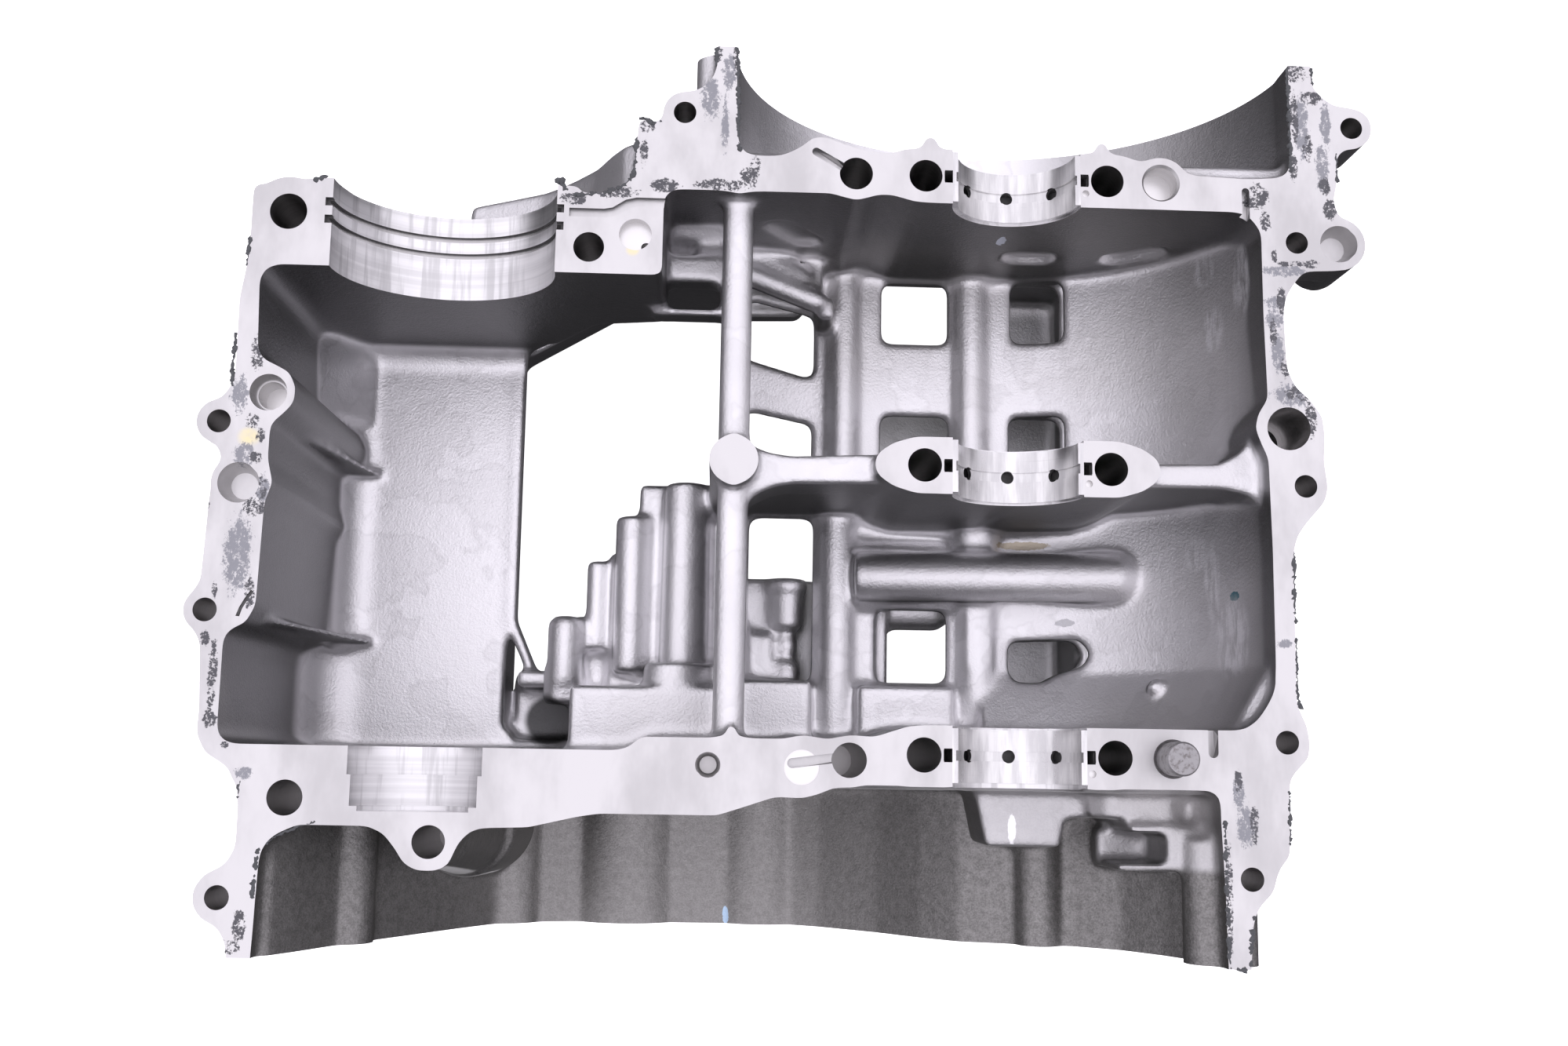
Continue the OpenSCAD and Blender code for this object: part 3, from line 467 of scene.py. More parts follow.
for y in BEARINGS:
    grooves.round(0, 0, (SEAT_R + OIL_RING) * 2, y - OIL_RING_HALF, y + OIL_RING_HALF, "y",
                  DARK_RECESS, sides=96)
grooves.round(NEEDLE_X, 0, *NEEDLE_STEPS[1], "y", TURNED, sides=96)
grooves.cut(casting, "ring_grooves")
notches = Cutters()
for y in RING_GROOVES:
    for side in (-1, 1):
        x = SHAFT_X + side * (BALL_R + NOTCH_OUT)
        notches.box(x - NOTCH_HALF, x + NOTCH_HALF, y - NOTCH_EXTRA, y + RING_WIDTH + NOTCH_EXTRA,
                    -NOTCH_DEPTH, SPARE, DARK_RECESS)
notches.round(NEEDLE_X, 0, *NEEDLE_STEPS[2], "y", TURNED, sides=96)
notches.cut(casting, "notches")

# %% [markdown]
# Covers are screwed onto the generator side and the clutch side, and a plate onto the sump. Their
# screw holes only show from the sides and from below, so they are plain small bores.

# %% Screw holes of the covers and the sump
TAP_D, TAP_DEPTH, COVER_R = 5, 14, 95
OUT_GENERATOR, OUT_CLUTCH, OUT_SUMP = 8.5, 8, 4  # how far the cutters stand out of each face
COVER_SCREWS = [8, 34, 62, 90, 118, 146, 166]  # degrees round the crankshaft
CLUTCH_SCREWS = [(-225, -14), (-208, -46), (-185, -88), (-150, -121.6), (-104, -121.6),
                 (-56, -119), (-24, -92), (18, -66), (55, -42), (67, -12)]
SUMP_SCREWS = [(-172, -80), (-172, -20), (-172, 50), (-140, 92), (-80, 101), (-14, 101),
               (40, 92), (43, 30), (43, -30), (40, -86), (-40, -91), (-110, -91)]
screws = Cutters()
for degrees in COVER_SCREWS:
    a = math.radians(degrees)
    screws.round(-COVER_R * math.cos(a), -COVER_R * math.sin(a), TAP_D,
                 GENERATOR_FACE_Y - TAP_DEPTH, GENERATOR_FACE_Y + OUT_GENERATOR, "y", sides=24)
for x, z in CLUTCH_SCREWS:
    screws.round(x, z, TAP_D, CLUTCH_FACE_Y - OUT_CLUTCH, CLUTCH_FACE_Y + TAP_DEPTH, "y",
                 sides=24)
for x, y in SUMP_SCREWS:
    screws.round(x, y, TAP_D, SUMP_Z - OUT_SUMP, SUMP_Z + TAP_DEPTH, sides=24)
screws.cut(casting, "screws")

# %% [markdown]
# The finished casting now stands for the solid of the same name, and it rides on the same body.
# The soft skin is shaded smooth, and any edge above 38 degrees stays sharp, which is what makes
# the machined faces look crisp. The shells and the pin keep their own solids.

# %% The casting takes its place
SHARP_ABOVE = 38


def shade(obj, angle):
    """Smooth shading with sharp edges above an angle in degrees."""
    obj.data.polygons.foreach_set("use_smooth", [True] * len(obj.data.polygons))
    obj.data.set_sharp_from_angle(angle=math.radians(angle))
    obj.data.update()


shade(casting, SHARP_ABOVE)
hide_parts("crankcase")
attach(casting, "root")
print("casting:", sum(len(p.vertices) - 2 for p in casting.data.polygons), "triangles")

# %% [markdown]
# Old sealant hangs on some edges of the split face as dark, uneven beads. It squeezed out of the
# joint and tore when the halves were parted. Each bead is a thin lumpy tube along a few points of
# the edge, half sunk in the face. A bevelled curve would be too even, so its rings are made one
# by one, with waves and a little chance in their size.

# %% Places of the sealant beads
BEADS = [  # radius, then points of the split face
    (0.7, (-236.3, 18), (-236.8, 24), (-236.6, 30), (-236.2, 36)),
    (0.7, (-234.6, 56), (-234.4, 61), (-234.0, 66)),
    (0.6, (-226.6, -97), (-226.8, -100), (-226.6, -103)),
    (0.4, (-204, -108.4), (-210, -110.4), (-215, -112.6), (-218.4, -115.4)),
    (0.8, (-219.6, -116), (-220.4, -119), (-220.8, -126), (-220.9, -131)),
    (0.9, (-216.5, 83.2), (-214, 84.4), (-211.6, 85.6)),
    (0.8, (-142.4, 85.2), (-141.0, 85.6), (-139.6, 83.6), (-137.6, 81.6), (-133, 82.0),
     (-128.6, 82.6)),
    (1.0, (-142.9, 85.6), (-141.4, 86.4), (-140.0, 85.0)),
    (0.8, (-128.6, 82.6), (-124.6, 83.6), (-121.4, 85.4), (-118.8, 89.0), (-118.4, 95),
     (-118.2, 101)),
    (0.8, (-117.9, 106.6), (-116.6, 107.4), (-115.4, 106.4), (-113.6, 105.6), (-111.4, 105.9),
     (-110.2, 107.4)),
    (0.8, (-94.6, 124.6), (-94.2, 128), (-94.0, 131.2)),
    (0.7, (-87.8, 131.2), (-87.5, 124), (-87.3, 116), (-87.1, 108), (-86.8, 100), (-85.6, 96.6)),
    (0.9, (-88.4, 131.6), (-87.6, 130.2), (-87.8, 128.4)),
    (0.7, (86.4, 131.0), (86.6, 124), (86.7, 116), (86.8, 108), (86.8, 100), (86.4, 95.6)),
    (0.8, (94.2, 131.2), (94.2, 127.4), (94.6, 124.8)),
    (0.6, (101.2, 103.2), (101.4, 98), (101.3, 93)),
    (0.7, (84.0, -24), (83.8, -31), (83.6, -38), (83.7, -46)),
    (0.5, (83.6, -50), (83.7, -58), (83.6, -66), (84.0, -71)),
    (1.0, (84.0, -68.4), (84.6, -70), (84.2, -71.6)),
    (0.6, (80.2, -95), (80.2, -103), (80.1, -112)),
    (0.7, (60.9, -104), (60.7, -115), (60.9, -127), (61.1, -138), (61.2, -146.4)),
    (0.8, (68.6, -131.6), (68.2, -136), (67.6, -141), (67.4, -146.6)),
    (0.7, (60.8, -146.6), (63.4, -146.9), (67.2, -146.9)),
]
print("beads to lay:", len(BEADS))

# %% [markdown]
# The beads are laid with a seed each, so they come out the same on every run. All of them are
# one piece of the scene: on the real part they are leftovers of one bead of sealant.

# %% Sealant beads
RING_STEP, RING_SIDES = 0.55, 7
WAVES = (0.7, 1.3, 2.9, 5.1)


def bead(line, radius, seed):
    """Points and faces of a lumpy tube that lies on the split face."""
    rng = np.random.default_rng(seed)
    line = np.array(line, float)
    reach = np.r_[0, np.cumsum(np.hypot(*np.diff(line, axis=0).T))]
    s = np.arange(0, reach[-1], RING_STEP)
    path = np.c_[np.interp(s, reach, line[:, 0]), np.interp(s, reach, line[:, 1])]
    wave = sum(np.sin(s * k + rng.uniform(0, 6)) / k ** 0.5 for k in WAVES)
    size = radius * np.clip(0.75 + 0.22 * wave + rng.uniform(-0.25, 0.25, len(s)), 0.25, 1.6)
    size[[0, -1]] = 0.1
    path += rng.uniform(-0.25, 0.25, path.shape)
    along = np.gradient(path, axis=0)
    along /= np.maximum(np.hypot(*along.T), 1e-6)[:, None]
    across = np.c_[-along[:, 1], along[:, 0]]
    n, m = len(s), RING_SIDES
    rough = rng.uniform(0.75, 1.25, (n, m))
    rings = np.empty((n, m, 3))
    for i, t in enumerate(np.arange(m) * 2 * math.pi / m):
        r = size * rough[:, i]
        rings[:, i, :2] = path + across * (r * math.cos(t))[:, None]
        rings[:, i, 2] = -0.35 * radius + r * 0.8 * math.sin(t)
    made = [(a * m + i, a * m + (i + 1) % m, (a + 1) * m + (i + 1) % m, (a + 1) * m + i)
            for a in range(n - 1) for i in range(m)]
    made += [tuple(reversed(range(m))), tuple((n - 1) * m + i for i in range(m))]
    return rings.reshape(-1, 3), made


def joined(name, parts):
    """One mesh object without materials, out of several sets of points and faces."""
    points, made, base = [], [], 0
    for some_points, some_faces in parts:
        made += [tuple(base + i for i in face) for face in some_faces]
        points.append(some_points)
        base += len(some_points)
    obj = mesh_object(name, np.vstack(points), made)
    obj.data.materials.clear()
    return obj


FIRST_SEED, BEAD_SHARP = 5, 60
sealant = joined("sealant_beads", [bead(line, radius, i + FIRST_SEED)
                                   for i, (radius, *line) in enumerate(BEADS)])
shade(sealant, BEAD_SHARP)
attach(sealant, "root")
print("sealant beads:", len(BEADS), "faces", len(sealant.data.polygons))

# %% [markdown]
# A material is arithmetic on numbers that change over the surface, and node by node it is hard to
# read. So shader maths is written as plain sums: `Sum` wraps a socket, and each operator adds the
# Math node that does it.

# %% Arithmetic on sockets


def put(tree, socket, value):
    """Links a Sum or sets a plain value."""
    if isinstance(value, Sum):
        tree.links.new(value.socket, socket)
    else:
        socket.default_value = value


class Sum:
    """A socket of a node tree, with arithmetic."""

    def __init__(self, tree, socket):
        self.tree, self.socket = tree, socket

    def maths(self, operation, *others):
        """A Math node with this socket as its first value."""
        n = self.tree.nodes.new("ShaderNodeMath")
        n.operation = operation
        for i, value in enumerate((self,) + others):
            put(self.tree, n.inputs[i], value)
        return Sum(self.tree, n.outputs[0])

    def __add__(self, other):
        return self.maths("ADD", other)

    def __sub__(self, other):
        return self.maths("SUBTRACT", other)

    def __mul__(self, other):
        return self.maths("MULTIPLY", other)

    def __pow__(self, other):
        return self.maths("POWER", other)

    def __neg__(self):
        return self * -1.0

    def __rsub__(self, other):
        return -self + other

    __radd__, __rmul__ = __add__, __mul__

    def abs(self):
        return self.maths("ABSOLUTE")

    def max(self, other):
        return self.maths("MAXIMUM", other)

    def min(self, other):
        return self.maths("MINIMUM", other)

    def ramp(self, low, high):
        """0 below low, 1 above high, smooth between."""
        n = self.tree.nodes.new("ShaderNodeMapRange")
        n.interpolation_type = "SMOOTHSTEP"
        put(self.tree, n.inputs["Value"], self)
        n.inputs["From Min"].default_value, n.inputs["From Max"].default_value = low, high
        return Sum(self.tree, n.outputs[0])


print("reflected forms of a Sum:", [name for name in vars(Sum) if name.startswith("__r")])

# %% [markdown]
# All other nodes come from one method, which takes the kind of node, its settings and its values.

# %% Node trees


class Nodes:
    """A node tree, with one method that adds any node."""

    def __init__(self, tree):
        self.tree = tree
        tree.nodes.clear()

    def node(self, kind, settings=None, values=None, out=0):
        """Adds a node and gives one of its outputs as a Sum."""
        n = self.tree.nodes.new(kind)
        for key, value in (settings or {}).items():
            setattr(n, key, value)
        for key, value in (values or {}).items():
            put(self.tree, n.inputs[key], value)
        return n if out is None else Sum(self.tree, n.outputs[out])

    def parts(self, vector):
        """The three parts of a vector."""
        n = self.node("ShaderNodeSeparateXYZ", {}, {0: vector}, out=None)
        return [Sum(self.tree, socket) for socket in n.outputs]


print("a node tree is built with:", [name for name in vars(Nodes) if name[0] != "_"])

# %% [markdown]
# A material needs to know where on the part it is and which way the surface faces. Both come from
# the part itself, so nothing changes with the camera. Noise, places and mixes of colours are the
# same few nodes in every finish, so each has a method here.

# %% Materials under construction


class Shader(Nodes):
    """A material under construction: places in millimetres, noise, mixes and the surface."""

    def __init__(self, name):
        self.material = bpy.data.materials.get(name) or bpy.data.materials.new(name)
        self.material.use_nodes = True
        super().__init__(self.material.node_tree)
        self.surface = self.node("ShaderNodeBsdfPrincipled", out=None)
        self.node("ShaderNodeOutputMaterial", {}, {0: Sum(self.tree, self.surface.outputs[0])},
                  out=None)
        place = self.node("ShaderNodeTexCoord", out="Object")
        self.at = self.node("ShaderNodeVectorMath", {"operation": "SCALE"}, {0: place, "Scale": 1000.0})
        self.x, self.y, self.z = self.parts(self.at)
        self.nx, self.ny, self.nz = self.parts(self.node("ShaderNodeNewGeometry", out="Normal"))

    def noise(self, size, detail=4.0, rough=0.55, stretch=(1, 1, 1), seed=0.0):
        """Noise between 0 and 1 with lumps of about size millimetres."""
        at = self.node("ShaderNodeVectorMath", {"operation": "MULTIPLY_ADD"}, {
            0: self.at, 1: tuple(1 / (size * s) for s in stretch), 2: (seed, seed * 0.7, -seed)})
        return self.node("ShaderNodeTexNoise", {}, {
            "Vector": at, "Scale": 1.0, "Detail": detail, "Roughness": rough})

    def away(self, place, reach):
        """Distance from a place, 1 at the ends of an ellipsoid's half axes. None is no limit."""
        scale = [1 / r if r else 0.0 for r in reach]
        offset = self.node("ShaderNodeVectorMath", {"operation": "MULTIPLY_ADD"}, {
            0: self.at, 1: tuple(scale), 2: tuple(-p * k for p, k in zip(place, scale))})
        return self.node("ShaderNodeVectorMath", {"operation": "LENGTH"}, {0: offset}, out="Value")

    def spots(self, places):
        """1 in the middle of the nearest ellipse on the split face, 0 at its edge."""
        away = [self.away((x, y, 0), (rx, ry, None)) for x, y, rx, ry in places]
        nearest = away[0]
        for other in away[1:]:
            nearest = nearest.min(other)
        return 1.0 - nearest

    def colours(self, share, low, high):
        """A mix of two colours, each a triple or a Sum."""
        n = self.node("ShaderNodeMix", {"data_type": "RGBA"}, {"Factor": share}, out=None)
        for key, colour in ((6, low), (7, high)):
            put(self.tree, n.inputs[key], colour if isinstance(colour, Sum) else (*colour, 1.0))
        return Sum(self.tree, n.outputs[2])

    def bump(self, height, distance, strength=1.0):
        """Bumps of a height in shader units, distance in millimetres."""
        return self.node("ShaderNodeBump", {}, {
            "Height": height, "Distance": distance / 1000.0, "Strength": strength})

    def grain(self, size, seed=0.0):
        """Fine pits and lumps of a cast surface, from 0 to 1."""
        fine = self.noise(size, 5.0, 0.65, seed=seed)
        return 0.65 * fine + 0.35 * self.noise(size * 4, 3.0, 0.5, seed=seed + 7)

    def done(self, **sockets):
        """Sets the surface's sockets by name, underscores for spaces."""
        for key, value in sockets.items():
            value = (*value, 1.0) if isinstance(value, tuple) else value
            put(self.tree, self.surface.inputs[key.replace("_", " ")], value)
        print(self.material.name, "material:", len(self.tree.nodes), "nodes")
        return self.material


print("materials still to make:", SLOTS)

# %% [markdown]
# Old sealant stays on the split face in two ways, as a grey film where it was thin and as dark
# flecks where it tore. A photo could be projected, but then the face would only look right from
# one side. Instead both have their places, a few ellipses each, and noise breaks them up so that
# the bare metal shows between.

# %% Sealant residue on the split face
FILM = [  # x, y and half widths
    (-234, 16.5, 3, 6), (-231.6, -1.5, 3.5, 4), (-231.5, -31.5, 4.6, 13), (-225.8, -12, 2.6, 4.5),
    (90.5, 111, 2.6, 12), (84, 64, 8, 2), (80.7, 53.5, 4, 2.2), (80, 48, 3.4, 4),
    (80.7, 38, 2.4, 7), (85, 24.4, 7, 4), (80.2, -51.8, 2.6, 1.7), (65.1, -96, 2, 6),
    (67, -106, 3.2, 7), (-91, 105, 1.4, 10), (-95.7, 114.5, 3.4, 8), (-90, 123, 2.4, 7),
    (98, 112, 2, 8), (96.5, 98, 2.4, 9), (-225.6, -95, 3, 2),
]
FLECKS = [
    (-229.5, 29, 2.6, 8), (-227, 4, 2, 3.2), (-230, 8.5, 3, 3), (-228, -2.5, 2.4, 2.4),
    (-225.8, -11.5, 2.6, 5), (-227.8, -17.5, 5, 3.6), (-241.5, -16, 1.4, 4),
    (-227.3, -43, 2.2, 6), (-237.5, -42, 1.2, 4), (-239.5, -56.5, 2, 3), (-236.4, -67, 1.8, 14),
    (-236.4, -80, 2.6, 4), (-231.6, -87.1, 1.8, 1.4), (-224, -138.5, 2.6, 6.5),
    (-226.4, -144, 4, 3), (-136.8, 80.4, 5, 2.8), (-124, 83, 9, 2.4), (-109, 85.5, 6, 3.4),
    (-91, 86.3, 12, 2.6), (-83, 89, 3.6, 5), (-81.5, 93, 2.4, 4), (-116, 96, 1.8, 6),
    (-115, 104.5, 3, 3), (-94.6, 129, 3, 4), (-88, 128, 1.6, 6), (89, 129.5, 4.4, 6),
    (75.5, 88, 4.6, 5.4), (98.8, 84.4, 3.4, 4.4), (78, 80, 2.4, 4.5), (80.5, 68.5, 1.2, 3),
    (86, 66.4, 6, 1.3), (92.6, 66.3, 3.4, 2), (90.5, 17.5, 2.4, 8), (87, 25, 6, 3.2),
    (69.5, -105, 1.8, 7), (65, -93, 1.8, 4), (61.5, -126, 1.6, 22), (88.2, 114, 1.8, 12),
    (87.6, 98, 2.0, 6), (94, 121, 5, 3), (92, 104, 2.2, 6), (82.4, 54, 2, 6),
    (82.8, 33, 2.4, 4), (79.6, 44, 1.6, 6), (97, 92, 2.4, 4),
]


def residue(shader):
    """Cover of the grey film and of the dark flecks, each from 0 to 1."""
    speck = shader.noise(0.8, 5.0, 0.65, seed=11.0)
    patch = shader.noise(2.0, 6.0, 0.85, (1.0, 1.5, 1.0), seed=3.0)
    film = shader.spots(FILM).min(0.4) * 0.7 + patch * 2.0 + speck * 0.4
    tear = shader.noise(4.0, 6.0, 0.75, seed=6.0)
    torn = shader.spots(FLECKS).min(0.4) * 0.8 + tear * 1.3 + speck * 0.9
    return (film - 1.3).ramp(0.0, 0.12), (torn - 1.34).ramp(0.0, 0.1)


print("film places:", len(FILM), "fleck places:", len(FLECKS))

# %% [markdown]
# The raw skin of the casting is dull silver grey with a fine grain. Metal mostly shows what it
# reflects, so its own grey has to do the rest: what faces up is painted bright as painted light,
# and the steep walls are painted dark as painted shade. The flats deep in the case get extra
# painted light and are the brightest. Large soft clouds and the tide marks of old oil keep the
# flats from looking new.

# %% Cast skin: walls and flats
skin = Shader("cast")
cloud = skin.noise(38, 4.0, 0.6, seed=5.0)
oily = skin.noise(90, 3.0, 0.55, seed=21.0).ramp(0.5, 0.72)
splash = skin.noise(24, 3.0, 0.5, seed=15.0)
tide = (splash - 0.5).abs().ramp(0.0, 0.025)
pools = splash.ramp(0.49, 0.51)
upward = skin.nz.ramp(-0.05, 0.42)
steep = 1.0 - upward
deep_painted_light = (-skin.z).ramp(45.0, 85.0)
# painted light: the deeper flats are painted brighter
flats = skin.colours(deep_painted_light, (0.74, 0.733, 0.747), (0.90, 0.892, 0.908))
# painted shade: steep walls are painted dark, and faces that look up are painted bright as painted
# light
tone = skin.colours(upward, (0.135, 0.133, 0.137), flats)
# the clouds keep the same painted shade on steep walls and painted light on the flats
cloudy = skin.colours(upward, (0.185, 0.182, 0.188), (0.95, 0.942, 0.958))
tone = skin.colours(cloud.ramp(0.3, 0.72) * 0.5, tone, cloudy)
tone = skin.colours((1.0 - tide) * upward * 0.2, tone, (0.58, 0.57, 0.58))
tone = skin.colours(pools * upward * 0.16, tone, (0.62, 0.61, 0.62))
tone = skin.colours(oily * 0.25, tone, (0.50, 0.48, 0.45))
print("cast skin so far:", len(skin.tree.nodes), "nodes")

# %% [markdown]
# The clutch side was not blasted, so its chamber is coarse, and it is also painted dark as
# painted shade, apart from the block below the last main bearing. Walls that face the clutch side
# are painted darker still as painted shade, and walls that face away from the gearbox are painted
# a little lighter as painted light.

# %% Cast skin: clutch side
near_block = skin.x.ramp(-32.0, -28.0) * skin.z.ramp(-52.0, -48.0) * skin.y.ramp(-121.0, -118.0)
# the clutch chamber: rougher and coarse grained, and painted dark as painted shade
rough_and_shaded_side = (-skin.y).ramp(94.0, 99.0) * (1.0 - 0.6 * near_block)
# painted shade: walls that face the clutch side are darkened
tone = skin.colours((-skin.ny).ramp(0.4, 0.9) * steep * 0.4, tone, (0.03, 0.03, 0.03))
# painted light: walls that face away from the gearbox are lightened
tone = skin.colours(skin.nx.ramp(0.4, 0.9) * steep * 0.15, tone, (0.42, 0.415, 0.42))
# coarse grain in a dark grey that is partly painted shade, lighter towards the bottom, with steep and
# downward faces painted darker as painted shade
coarse_and_shaded = skin.colours(skin.grain(0.6, 2.0).ramp(0.3, 0.68), (0.165, 0.161, 0.156), (0.32, 0.314, 0.306))
coarse_and_shaded = skin.colours((-skin.z).ramp(70.0, 118.0) * 0.3, coarse_and_shaded, (0.44, 0.43, 0.42))
coarse_and_shaded = skin.colours(skin.nz.ramp(-0.05, 0.3), (0.16, 0.157, 0.15), coarse_and_shaded)
tone = skin.colours(rough_and_shaded_side, tone, coarse_and_shaded)
print("with the clutch side:", len(skin.tree.nodes), "nodes")

# %% [markdown]
# The outside of the walls is never blasted either, but it is open to the light: a dull, half
# matt grey. A wall is outside where it faces away from the middle of the case, and everything
# that faces down counts as outside too. Two places are painted dark as painted shade: the corner
# of the generator cover, and a deep pocket beside the gearbox floor that hardly gets any light.

# %% Cast skin: outside and dark corners
MIDDLE_X, MIDDLE_Y = -66.0, -8.0
SHADED_POCKET, SHADED_POCKET_REACH = (-149.0, -76.0, -100.0), (11.0, 10.5, 42.0)
outward = (skin.x - MIDDLE_X) * skin.nx + (skin.y - MIDDLE_Y) * skin.ny
outside = ((outward - 60.0).ramp(0.0, 20.0) * steep).max((-skin.nz).ramp(0.3, 0.7))
tone = skin.colours(outside, tone, skin.colours(cloud, (0.38, 0.376, 0.38), (0.56, 0.554, 0.56)))
# painted shade in the corner of the generator cover
cover_corner_shade = skin.y.ramp(99.0, 104.0) * skin.x.ramp(5.0, 45.0)
tone = skin.colours(cover_corner_shade * (1.0 - outside) * 0.7, tone, (0.24, 0.237, 0.24))
print("with the outside:", len(skin.tree.nodes), "nodes")

# %% [markdown]
# A few marks belong to single spots: dabs of inspection paint, an oil stain beside the long
# tube, and places on the front wall where the skin is worn bright. Each is an ellipsoid around
# its place, with an uneven edge.

# %% Cast skin: paint dabs, stains and rubbed places
DABS = [  # x, y, z, half widths, colour, strength
    (3.0, -109.0, -30.0, 1.3, 4.6, 3.0, (0.93, 0.93, 0.93), 1.0),
    (-84.8, -144.0, -117.5, 1.1, 3.2, 3.0, (0.52, 0.68, 0.86), 1.0),
    (1.2, 82.6, -34.5, 1.5, 2.0, 4.5, (0.62, 0.66, 0.74), 0.9),
    (73.7, -35.1, -25.6, 2.0, 1.5, 2.4, (0.05, 0.19, 0.24), 1.0),
    (16.0, -13.6, -76.0, 11.0, 1.5, 4.0, (0.42, 0.34, 0.20), 0.7),
    (29.4, -40.5, -72.0, 3.4, 1.4, 4.0, (0.42, 0.42, 0.44), 0.7),
]
RUBS = [  # x, y, z, half widths
    (66.3, -20.0, -41.0, 4, 8, 8), (69.5, -29.0, -35.0, 2.4, 16, 8),
    (73.0, -48.0, -28.0, 6, 16, 14), (69.4, 75.0, -36.0, 4, 7, 8),
    (71.0, 54.0, -33.0, 3, 10, 10), (76.0, 66.0, -18.0, 3, 14, 8),
]
uneven = skin.noise(1.6, 3.0, 0.6, seed=8.0) * 0.9 - 0.4
for *place, rx, ry, rz, colour, strength in DABS:
    dab = (1.0 - skin.away(place, (rx, ry, rz)) + uneven).ramp(0.0, 0.16)
    tone = skin.colours(dab * strength, tone, colour)
scratches = skin.noise(1.2, 3.0, 0.6, (1.0, 9.0, 3.0), seed=33.0).ramp(0.36, 0.6)
for *place, rx, ry, rz in RUBS:
    rub = (1.0 - skin.away(place, (rx, ry, rz))).ramp(0.0, 0.5) * scratches
    tone = skin.colours(rub, tone, (0.95, 0.945, 0.96))
# painted shade: the deep pocket beside the gearbox floor is painted nearly black
pocket_shade = (1.0 - skin.away(SHADED_POCKET, SHADED_POCKET_REACH)).ramp(0.0, 0.25)
tone = skin.colours(pocket_shade * 0.9, tone, (0.03, 0.03, 0.03))
skin.done(Base_Color=tone, Metallic=1.0 - 0.65 * outside,
          Roughness=0.36 + 0.10 * cloud + 0.10 * rough_and_shaded_side,
          Normal=skin.bump(skin.grain(0.9), 0.45, 0.6))

# %% [markdown]
# The split face was milled, so it is flat and bright. The cutter left faint curved lines, far
# too fine to model, so they are a wave in the bump, round a point well outside the part. On
# top lie the residue and two pale yellow spots, perhaps old lacquer.

# %% Milled face
CUTTER_AT = (40.0, -420.0, 0.0)
YELLOW = [(-230.5, 3.6, 4.2, 3.6), (-118.5, 64.5, 2.6, 2.2)]
skin = Shader("milled")
waves = (skin.away(CUTTER_AT, (1.0, 1.0, None)) * 4.2).maths("SINE") * 0.5 + 0.5
lines = waves * skin.noise(14, 3.0, 0.5, seed=2.0)
wipe = skin.noise(30, 5.0, 0.62, (1.0, 2.2, 1.0), seed=8.0)
film, torn = residue(skin)
tone = skin.colours(wipe.ramp(0.34, 0.62), (0.54, 0.533, 0.533), (0.69, 0.682, 0.682))
yellow = skin.spots(YELLOW).ramp(0.0, 0.6) * skin.noise(3.0, 3.0, 0.6, seed=19.0) * 1.3
tone = skin.colours(yellow, tone, (0.86, 0.76, 0.42))
tone = skin.colours(film * 0.9, tone, (0.245, 0.25, 0.275))
tone = skin.colours(torn, tone, (0.11, 0.11, 0.12))
skin.done(Base_Color=tone, Metallic=1.0 - 0.3 * film - 0.5 * torn,
          Roughness=0.36 + 0.08 * wipe + 0.2 * torn,
          Normal=skin.bump(lines * 0.12 + torn * 0.8 + skin.noise(1.2, 3.0, 0.6) * 0.06, 0.12, 0.5))

# %% [markdown]
# The bearing seats were bored, so their fine lines run round the shaft. The bearings rubbed
# paler and darker streaks along it. Both are noise stretched in one direction.

# %% Turned seats
skin = Shader("turned")
rings = skin.noise(0.5, 3.0, 0.6, (60, 1.0, 60), seed=4.0)
bands = skin.noise(2.6, 3.0, 0.6, (60, 1.0, 60), seed=9.0)
streaks = skin.noise(3.4, 3.0, 0.6, (1.0, 14.0, 1.0), seed=23.0)
tone = skin.colours(bands.ramp(0.35, 0.65), (0.70, 0.695, 0.70), (0.85, 0.845, 0.85))
tone = skin.colours(streaks.ramp(0.5, 0.66) * 0.6, tone, (0.46, 0.455, 0.46))
skin.done(Base_Color=tone, Metallic=1.0, Roughness=0.24 + 0.12 * bands,
          Normal=skin.bump(rings, 0.06, 0.5))

# %% [markdown]
# A drill leaves rings down the wall of a hole. The floor of a shallow hole is painted bright as
# painted light; the floor of a deep bore is out of the light and stays as dark as its wall.

# %% Drilled holes
skin = Shader("drilled")
rings = skin.noise(0.6, 2.0, 0.5, (40, 40, 1.0), seed=1.0)
wall = skin.colours(rings, (0.40, 0.392, 0.39), (0.62, 0.61, 0.605))
# painted light on the floors of shallow holes
lit_shallow_floor = skin.nz.ramp(0.2, 0.8) * skin.z.ramp(-26.0, -20.0)
skin.done(Base_Color=skin.colours(lit_shallow_floor, wall, (0.80, 0.79, 0.785)), Metallic=1.0,
          Roughness=0.28 + 0.1 * rings, Normal=skin.bump(rings, 0.08, 0.6))

# %% [markdown]
# The lug pockets, the ring grooves, their notches and the gouge are coloured nearly black, nearly
# matt and only partly metal.

# %% Nearly black grooves and pockets
skin = Shader("dark_recess")
dark_mottle = skin.noise(1.4, 4.0, 0.6, seed=27.0)
skin.done(Base_Color=skin.colours(dark_mottle, (0.06, 0.06, 0.062), (0.16, 0.157, 0.155)),
          Metallic=0.3, Roughness=0.6)

# %% [markdown]
# The bearing shells have a soft grey running layer. The crankshaft polished it along its turning
# direction and scored fine lines, and handling left paler streaks across them. The shells keep
# their own solids, so only their material is set.

# %% Bearing shells
SHELLS = ["shell_generator_side", "shell_centre", "shell_clutch_side"]


def dress(nodes, material):
    """Gives solids that are kept as they are a material."""
    for name in nodes:
        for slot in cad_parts[name].material_slots:
            slot.material = material


